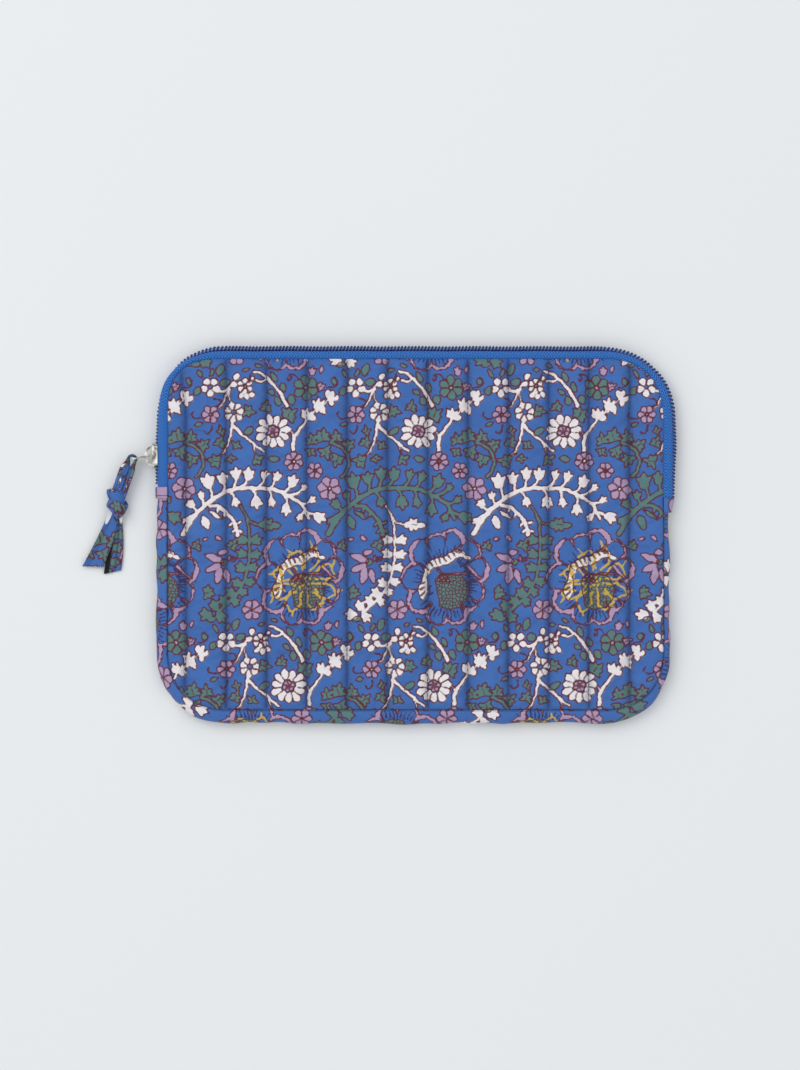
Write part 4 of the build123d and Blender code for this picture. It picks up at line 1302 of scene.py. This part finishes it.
def tape_section(front):
    line = np.array(TAPE_LINE)
    if not front:
        line = line * (1, -1) + (0, 2 * EDGE_Z)

    def section(s):
        centre = np.repeat(line[None], len(s), 0)
        outside = centre[..., 0] > 0
        centre[..., 0] *= np.where(outside, tape_reach(s)[:, None] / TAPE_EDGE, 1)
        centre[..., 0] += np.where(outside, ripple(s)[:, None], 0)
        return band(centre, 0.55)
    return section


def coil(name, front, body):
    """The zip's nylon coil: one filament wound round a cord along the tape's edge."""
    turns = int((ZIP_END - ZIP_START - 1.0) / COIL_PITCH)
    t = np.arange(turns * COIL_STEPS + 1) / COIL_STEPS
    s = ZIP_START + 0.5 + COIL_PITCH * t
    up = 1 if front else -1
    a = 2 * np.pi * t * up
    x, y, nx, ny = outline(s)
    normal = xyz(nx, ny, 0)
    axis = xyz(x, y, 0) + normal * (coil_reach(s) + ripple(s))[:, None] + UP * (EDGE_Z + up * COIL_RISE)
    radial = normal * np.cos(a)[:, None] + UP * np.sin(a)[:, None]
    points = axis + normal * (COIL_HALF_X * np.cos(a))[:, None] + UP * (COIL_HALF_Z * np.sin(a))[:, None]
    side = unit(np.cross(unit(np.gradient(points, axis=0)), radial))
    turn = circle(6)
    tube = points[:, None] + COIL_RADIUS * (np.cos(turn)[None, :, None] * radial[:, None]
                                            + 1.2 * np.sin(turn)[None, :, None] * side[:, None])
    turn = turn + np.pi / 6
    cord = axis[::3, None] + (1.1 * np.cos(turn)[None, :, None] * normal[::3, None]
                              + 0.8 * UP * np.sin(turn)[None, :, None])
    points = np.concatenate([tube.reshape(-1, 3), cord.reshape(-1, 3)])
    faces = tube_faces(len(tube), 6) + tube_faces(len(cord), 6, start=tube.size // 3)
    obj = make_piece(name, points, faces, COILED, body)
    set_vectors(obj, "cloth", xyz(points[:, 0], points[:, 1], np.arange(len(points)) >= tube.size // 3))
    return obj


front_tape, _, _ = edge_loft("front_zip_tape", around(1.5, ZIP_START, ZIP_END, False),
                             tape_section(True), TAPED, None)
folds(front_tape)
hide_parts("zip_tape_front_legs", "zip_tape_front_upper")
back_tape, _, _ = edge_loft("back_zip_tape", around(1.5, ZIP_START, ZIP_END, False),
                            tape_section(False), TAPED)
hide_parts("zip_tape_back")
front_coil = coil("front_zip_coil", True, None)
folds(front_coil)
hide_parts("zip_coil_front_legs", "zip_coil_front_upper")
back_coil = coil("back_zip_coil", False, "shell")
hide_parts("zip_coil_back")

# ---- Slider and pull -----------------------------------------------------------------

for node in ("slider_body", "pull_tab"):
    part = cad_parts[node]
    part.data.materials.clear()
    part.data.materials.append(METAL)
    bevel = part.modifiers.new("soft edges", "BEVEL")
    bevel.width = 0.0003
    bevel.segments = 3
    bevel.limit_method = "ANGLE"
    bevel.angle_limit = math.radians(35)
    part.data.shade_smooth()

# ---- The knotted strip of cloth ------------------------------------------------------

BAR = np.array((-180.568, 47.696, 6.8))
KNOT = np.array((-190.2, 20.5, 5.95))
DOWN = np.array((math.cos(math.radians(250.6)), math.sin(math.radians(250.6)), 0.0))
ASIDE = np.array((-DOWN[1], DOWN[0], 0.0))
ROUND = 38
strip_parts = []


def add_ribbon(centre, side, width, thick, u, v, closed=False, crown=0.0, plies=1, jump=0.0):
    """A folded ribbon: a rounded section swept along a line, its width along side.

    It shows plies folds side by side, each from a part of the print jump further on."""
    side = unit(side)
    tangent = (np.roll(centre, -1, 0) - np.roll(centre, 1, 0)) if closed else np.gradient(centre, axis=0)
    face = unit(np.cross(unit(tangent), side))
    t = circle(ROUND)
    wide, deep = softened(np.cos(t), 0.75), softened(np.sin(t), 0.6)
    width, thick = (np.broadcast_to(value, len(centre)) for value in (width, thick))
    ply = (wide + 1) / 2 * plies
    ridge = 0.35 * (np.abs(np.sin(np.pi * ply)) - 1) * np.sign(deep) * (plies > 1)
    points = (centre[:, None] + side[:, None] * (width[:, None] / 2 * wide)[..., None]
              + face[:, None] * (thick[:, None] / 2 * deep + crown * (1 - wide**2) + ridge)[..., None])
    length = np.concatenate([[0], np.cumsum(np.linalg.norm(np.diff(centre, axis=0), axis=1))])
    faces = tube_faces(len(centre), ROUND, closed)
    uu = u + np.repeat(length, ROUND)
    vv = v + (width[:, None] / 2 * wide + 2 * deep + jump * np.floor(np.clip(ply, 0, plies - 0.01))).ravel()
    # Painted shade in the folds between the plies.
    painted_shade = np.clip(1 - 3.4 * np.abs(ply - np.round(ply)), 0, 1) * (plies > 1)
    strip_parts.append((points.reshape(-1, 3), faces, uu, vv, np.tile(painted_shade, len(centre))))


def add_tail(left, right, low, lift, thick, u, v, wave, pleat, pleats, shade=0.0):
    """A flared end of the strip, between its two long edges, lying on the floor."""
    t = np.linspace(0, 1, 44)
    w = np.linspace(0, 1, 25)
    a, b = (xyz(*(np.interp(t, np.linspace(0, 1, len(edge)), along) for along in edge.T))
            for edge in (smooth_path(left), smooth_path(right)))
    plan = a[:, None] * (1 - w)[None, :, None] + b[:, None] * w[None, :, None]
    # The cut end is frayed and not quite straight.
    plan[-3:, :, 1] += (0.45 * np.sin(np.arange(len(w)) * 2.4 + wave)
                        * np.array((0.2, 0.5, 1.0))[:, None])
    fold = np.sin(wave + pleats * math.pi * w[None] + 0.8 * t[:, None])
    z = (low + lift * (1 - t[:, None]) ** 2.2 + pleat * (0.5 + 0.5 * fold) * (1 - 0.45 * t[:, None])
         + 0.7 * np.abs(2 * w[None] - 1) ** 4 * t[:, None])
    top = np.concatenate([plan, z[..., None] + thick], -1)
    under = np.concatenate([plan, z[..., None]], -1)
    flat = np.concatenate([plan, plan]).reshape(-1, 2)
    # Painted shade in the pleats' hollows, a painted shadow along the first edge when shade is given, and
    # painted shade over the whole underside.
    painted_shade = np.clip(-1.4 * fold - 0.2, 0, 1) * np.clip(pleat, 0, 1)
    painted_shade = painted_shade + np.clip(1.9 - 5 * w, 0, 1) * shade
    painted_shade = np.stack([painted_shade, 0 * painted_shade + 1.2]).ravel()
    strip_parts.append((np.concatenate([top, under]).reshape(-1, 3), slab_faces(*z.shape),
                        u + flat[:, 0], v + flat[:, 1], painted_shade))


def turned(vector, degrees):
    a = math.radians(degrees)
    x, y, z = vector
    return np.array((x * math.cos(a) - y * math.sin(a), x * math.sin(a) + y * math.cos(a), z))


# The loop: up one leg, over the pull's end bar on edge, and down the other leg.
ARCH = 2.6
reach = np.linspace(25.0, 0.0, 36)


def leg(reach, hand, most, width):
    """A leg of the loop: edge on at the bar, and lying nearly flat further down."""
    lean = np.clip(reach / 6.0, 0, 1) ** 1.1 * math.radians(most)
    out = ARCH * np.cos(lean) ** 2 + (width / 2 * np.sin(lean) - 0.15) * np.sin(lean) ** 2
    sway = 0.3 * np.sin(reach / 5 + hand)
    centre = BAR + DOWN * reach[:, None] + ASIDE * (hand * out)[:, None] + UP * sway[:, None]
    return centre, UP * np.cos(lean)[:, None] + ASIDE * (hand * np.sin(lean))[:, None]


left_leg, left_side = leg(reach, -1, 84, 5.8)
right_leg, right_side = leg(reach[::-1], 1, 50, 4.6)
over = np.linspace(0, math.pi, 17)[1:-1]
arch = BAR - ASIDE * (ARCH * np.cos(over))[:, None] - DOWN * (ARCH * np.sin(over))[:, None]
loop = np.vstack([left_leg, arch, right_leg])
side = np.vstack([left_side, np.repeat(UP[None], len(over), 0), right_side])
far = np.concatenate([reach, 0 * over, reach[::-1]])
add_ribbon(loop, side, 4.2 + 1.7 * np.clip(far / 6, 0, 1), 1.9, 67.2, 21.5, crown=0.3, plies=3,
           jump=-33.0)

# The knot: two turns of the strip that cross over a firm middle.
KNOT_STEPS = 44
for turn, wide, deep, off, aside, width, tilt, u, v in (
    (34, 4.0, 4.3, 4.2, -2.5, 7.8, 1.6, 80.2, 20.5),
    (-14, 5.2, 4.3, -2.7, 0.7, 9.2, 0.9, -70.0, 85.0),
):
    across_knot = turned(ASIDE, turn)
    length_knot = turned(DOWN, turn)
    a = circle(KNOT_STEPS)
    middle = KNOT - DOWN * off + ASIDE * aside
    ring = (middle + across_knot * (wide * np.cos(a))[:, None] + UP * (deep * np.sin(a))[:, None]
            + length_knot * (tilt * np.sin(a + 0.6) + 0.5 * np.sin(2 * a))[:, None])
    width = width * (1 + 0.10 * np.sin(a + 2.0) + 0.05 * np.sin(3 * a))
    add_ribbon(ring, np.repeat(length_knot[None], KNOT_STEPS, 0), width, 1.9, u, v, closed=True,
               crown=0.5)
core_t = np.linspace(-1, 1, 16)
core = KNOT + DOWN * (7.8 * core_t)[:, None]
rounding = np.sqrt(1.02 - core_t**2)
add_ribbon(core, np.repeat(ASIDE[None], len(core), 0), 9.0 * rounding, 8.0 * rounding, -75.0, 96.0)

# The two tails, the left one over the right one.
# The first tail's shade paints a shadow along its edge next to the other tail.
add_tail([(-191.2, 15.5), (-194.9, 0.0), (-197.4, -13.0), (-199.2, -25.6)],
         [(-188.0, 15.0), (-187.0, 1.0), (-186.9, -11.0), (-188.2, -23.0)],
         0.25, 2.0, 0.9, 159.5, 17.0, 0.8, 1.0, 5.0, shade=2.0)
add_tail([(-194.6, 16.5), (-200.6, 3.0), (-206.6, -9.0), (-212.8, -20.6)],
         [(-189.9, 14.5), (-191.2, 3.0), (-194.0, -7.4), (-199.4, -21.0)],
         2.0, 1.9, 0.9, 122.0, 94.5, 2.4, 0.5, 2.4)


def join_parts(name, material):
    """One piece from all the parts of the strip added so far."""
    starts = np.cumsum([0] + [len(part[0]) for part in strip_parts])
    faces = [f + start for part, start in zip(strip_parts, starts) for f in part[1]]
    obj = make_piece(name, np.vstack([part[0] for part in strip_parts]), faces, material,
                     "tassel")
    set_print(obj, *(np.concatenate([part[k] for part in strip_parts]) for k in (2, 3, 4)))
    strip_parts.clear()
    return obj


strip = join_parts("pull_strip_cloth", PRINTED)
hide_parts("pull_strip")

# The strip's reverse, which shows in two small turned-out edges below the knot.
TURNED_OUT = (
    ([(-195.6, 18.0), (-197.2, 12.0), (-198.3, 6.4)],
     [(-193.0, 17.2), (-193.9, 12.0), (-196.9, 6.2)], 3.6),
    ([(-189.4, 15.6), (-189.3, 11.0), (-188.5, 7.2)],
     [(-187.2, 15.8), (-186.7, 11.0), (-187.5, 7.0)], 3.2),
)
for left, right, low in TURNED_OUT:
    add_tail(left, right, low, lift=1.0, thick=0.7, u=0.0, v=0.0, wave=0.0, pleat=0.5, pleats=1.0)
reverse = join_parts("pull_strip_reverse", REVERSED)

# ---- Floor, light and the last lines -------------------------------------------------


def plain(name, colour, roughness):
    m = Nodes(name, roughness=roughness)
    where = m.node("ShaderNodeTexCoord").outputs["Object"]
    m.colour(m.mix(m.noise(where, 3.0, 2.0), colour, tuple(min(1.0, 1.01 * c) for c in colour)))
    return m.material


floor_mesh = bpy.data.meshes.new("floor")
floor_mesh.from_pydata([(-30, -30, 0), (30, -30, 0), (30, 30, 0), (-30, 30, 0)], [], [(0, 1, 2, 3)])
floor = bpy.data.objects.new("floor", floor_mesh)
floor_mesh.materials.append(plain("floor_paper", srgb(229, 231, 232), 0.7))
bpy.context.scene.collection.objects.link(floor)

LIGHT_PLACE = Vector((-1.7, 1.4, 2.9))
soft_light = bpy.data.lights.new("key", "AREA")
soft_light.shape = "DISK"
soft_light.size = 2.6
soft_light.energy = 32
soft_light.color = (1.0, 0.985, 0.965)
light = bpy.data.objects.new("key", soft_light)
bpy.context.scene.collection.objects.link(light)
light.location = LIGHT_PLACE
light.rotation_euler = (-LIGHT_PLACE).to_track_quat("-Z", "Y").to_euler()

world = bpy.data.worlds.new("studio")
world.use_nodes = True
sky = world.node_tree
direction = sky.nodes.new("ShaderNodeTexCoord")
height = sky.nodes.new("ShaderNodeSeparateXYZ")
ramp = sky.nodes.new("ShaderNodeMapRange")
ramp.inputs["From Min"].default_value, ramp.inputs["From Max"].default_value = 0.05, 0.75
ramp.inputs["To Min"].default_value, ramp.inputs["To Max"].default_value = 0.30, 1.0
sky.links.new(direction.outputs["Generated"], height.inputs[0])
sky.links.new(height.outputs["Z"], ramp.inputs["Value"])
sky.nodes["Background"].inputs["Color"].default_value = (0.97, 0.985, 1.0, 1.0)
sky.links.new(ramp.outputs[0], sky.nodes["Background"].inputs["Strength"])
bpy.context.scene.world = world
bpy.context.scene.view_settings.view_transform = "Standard"
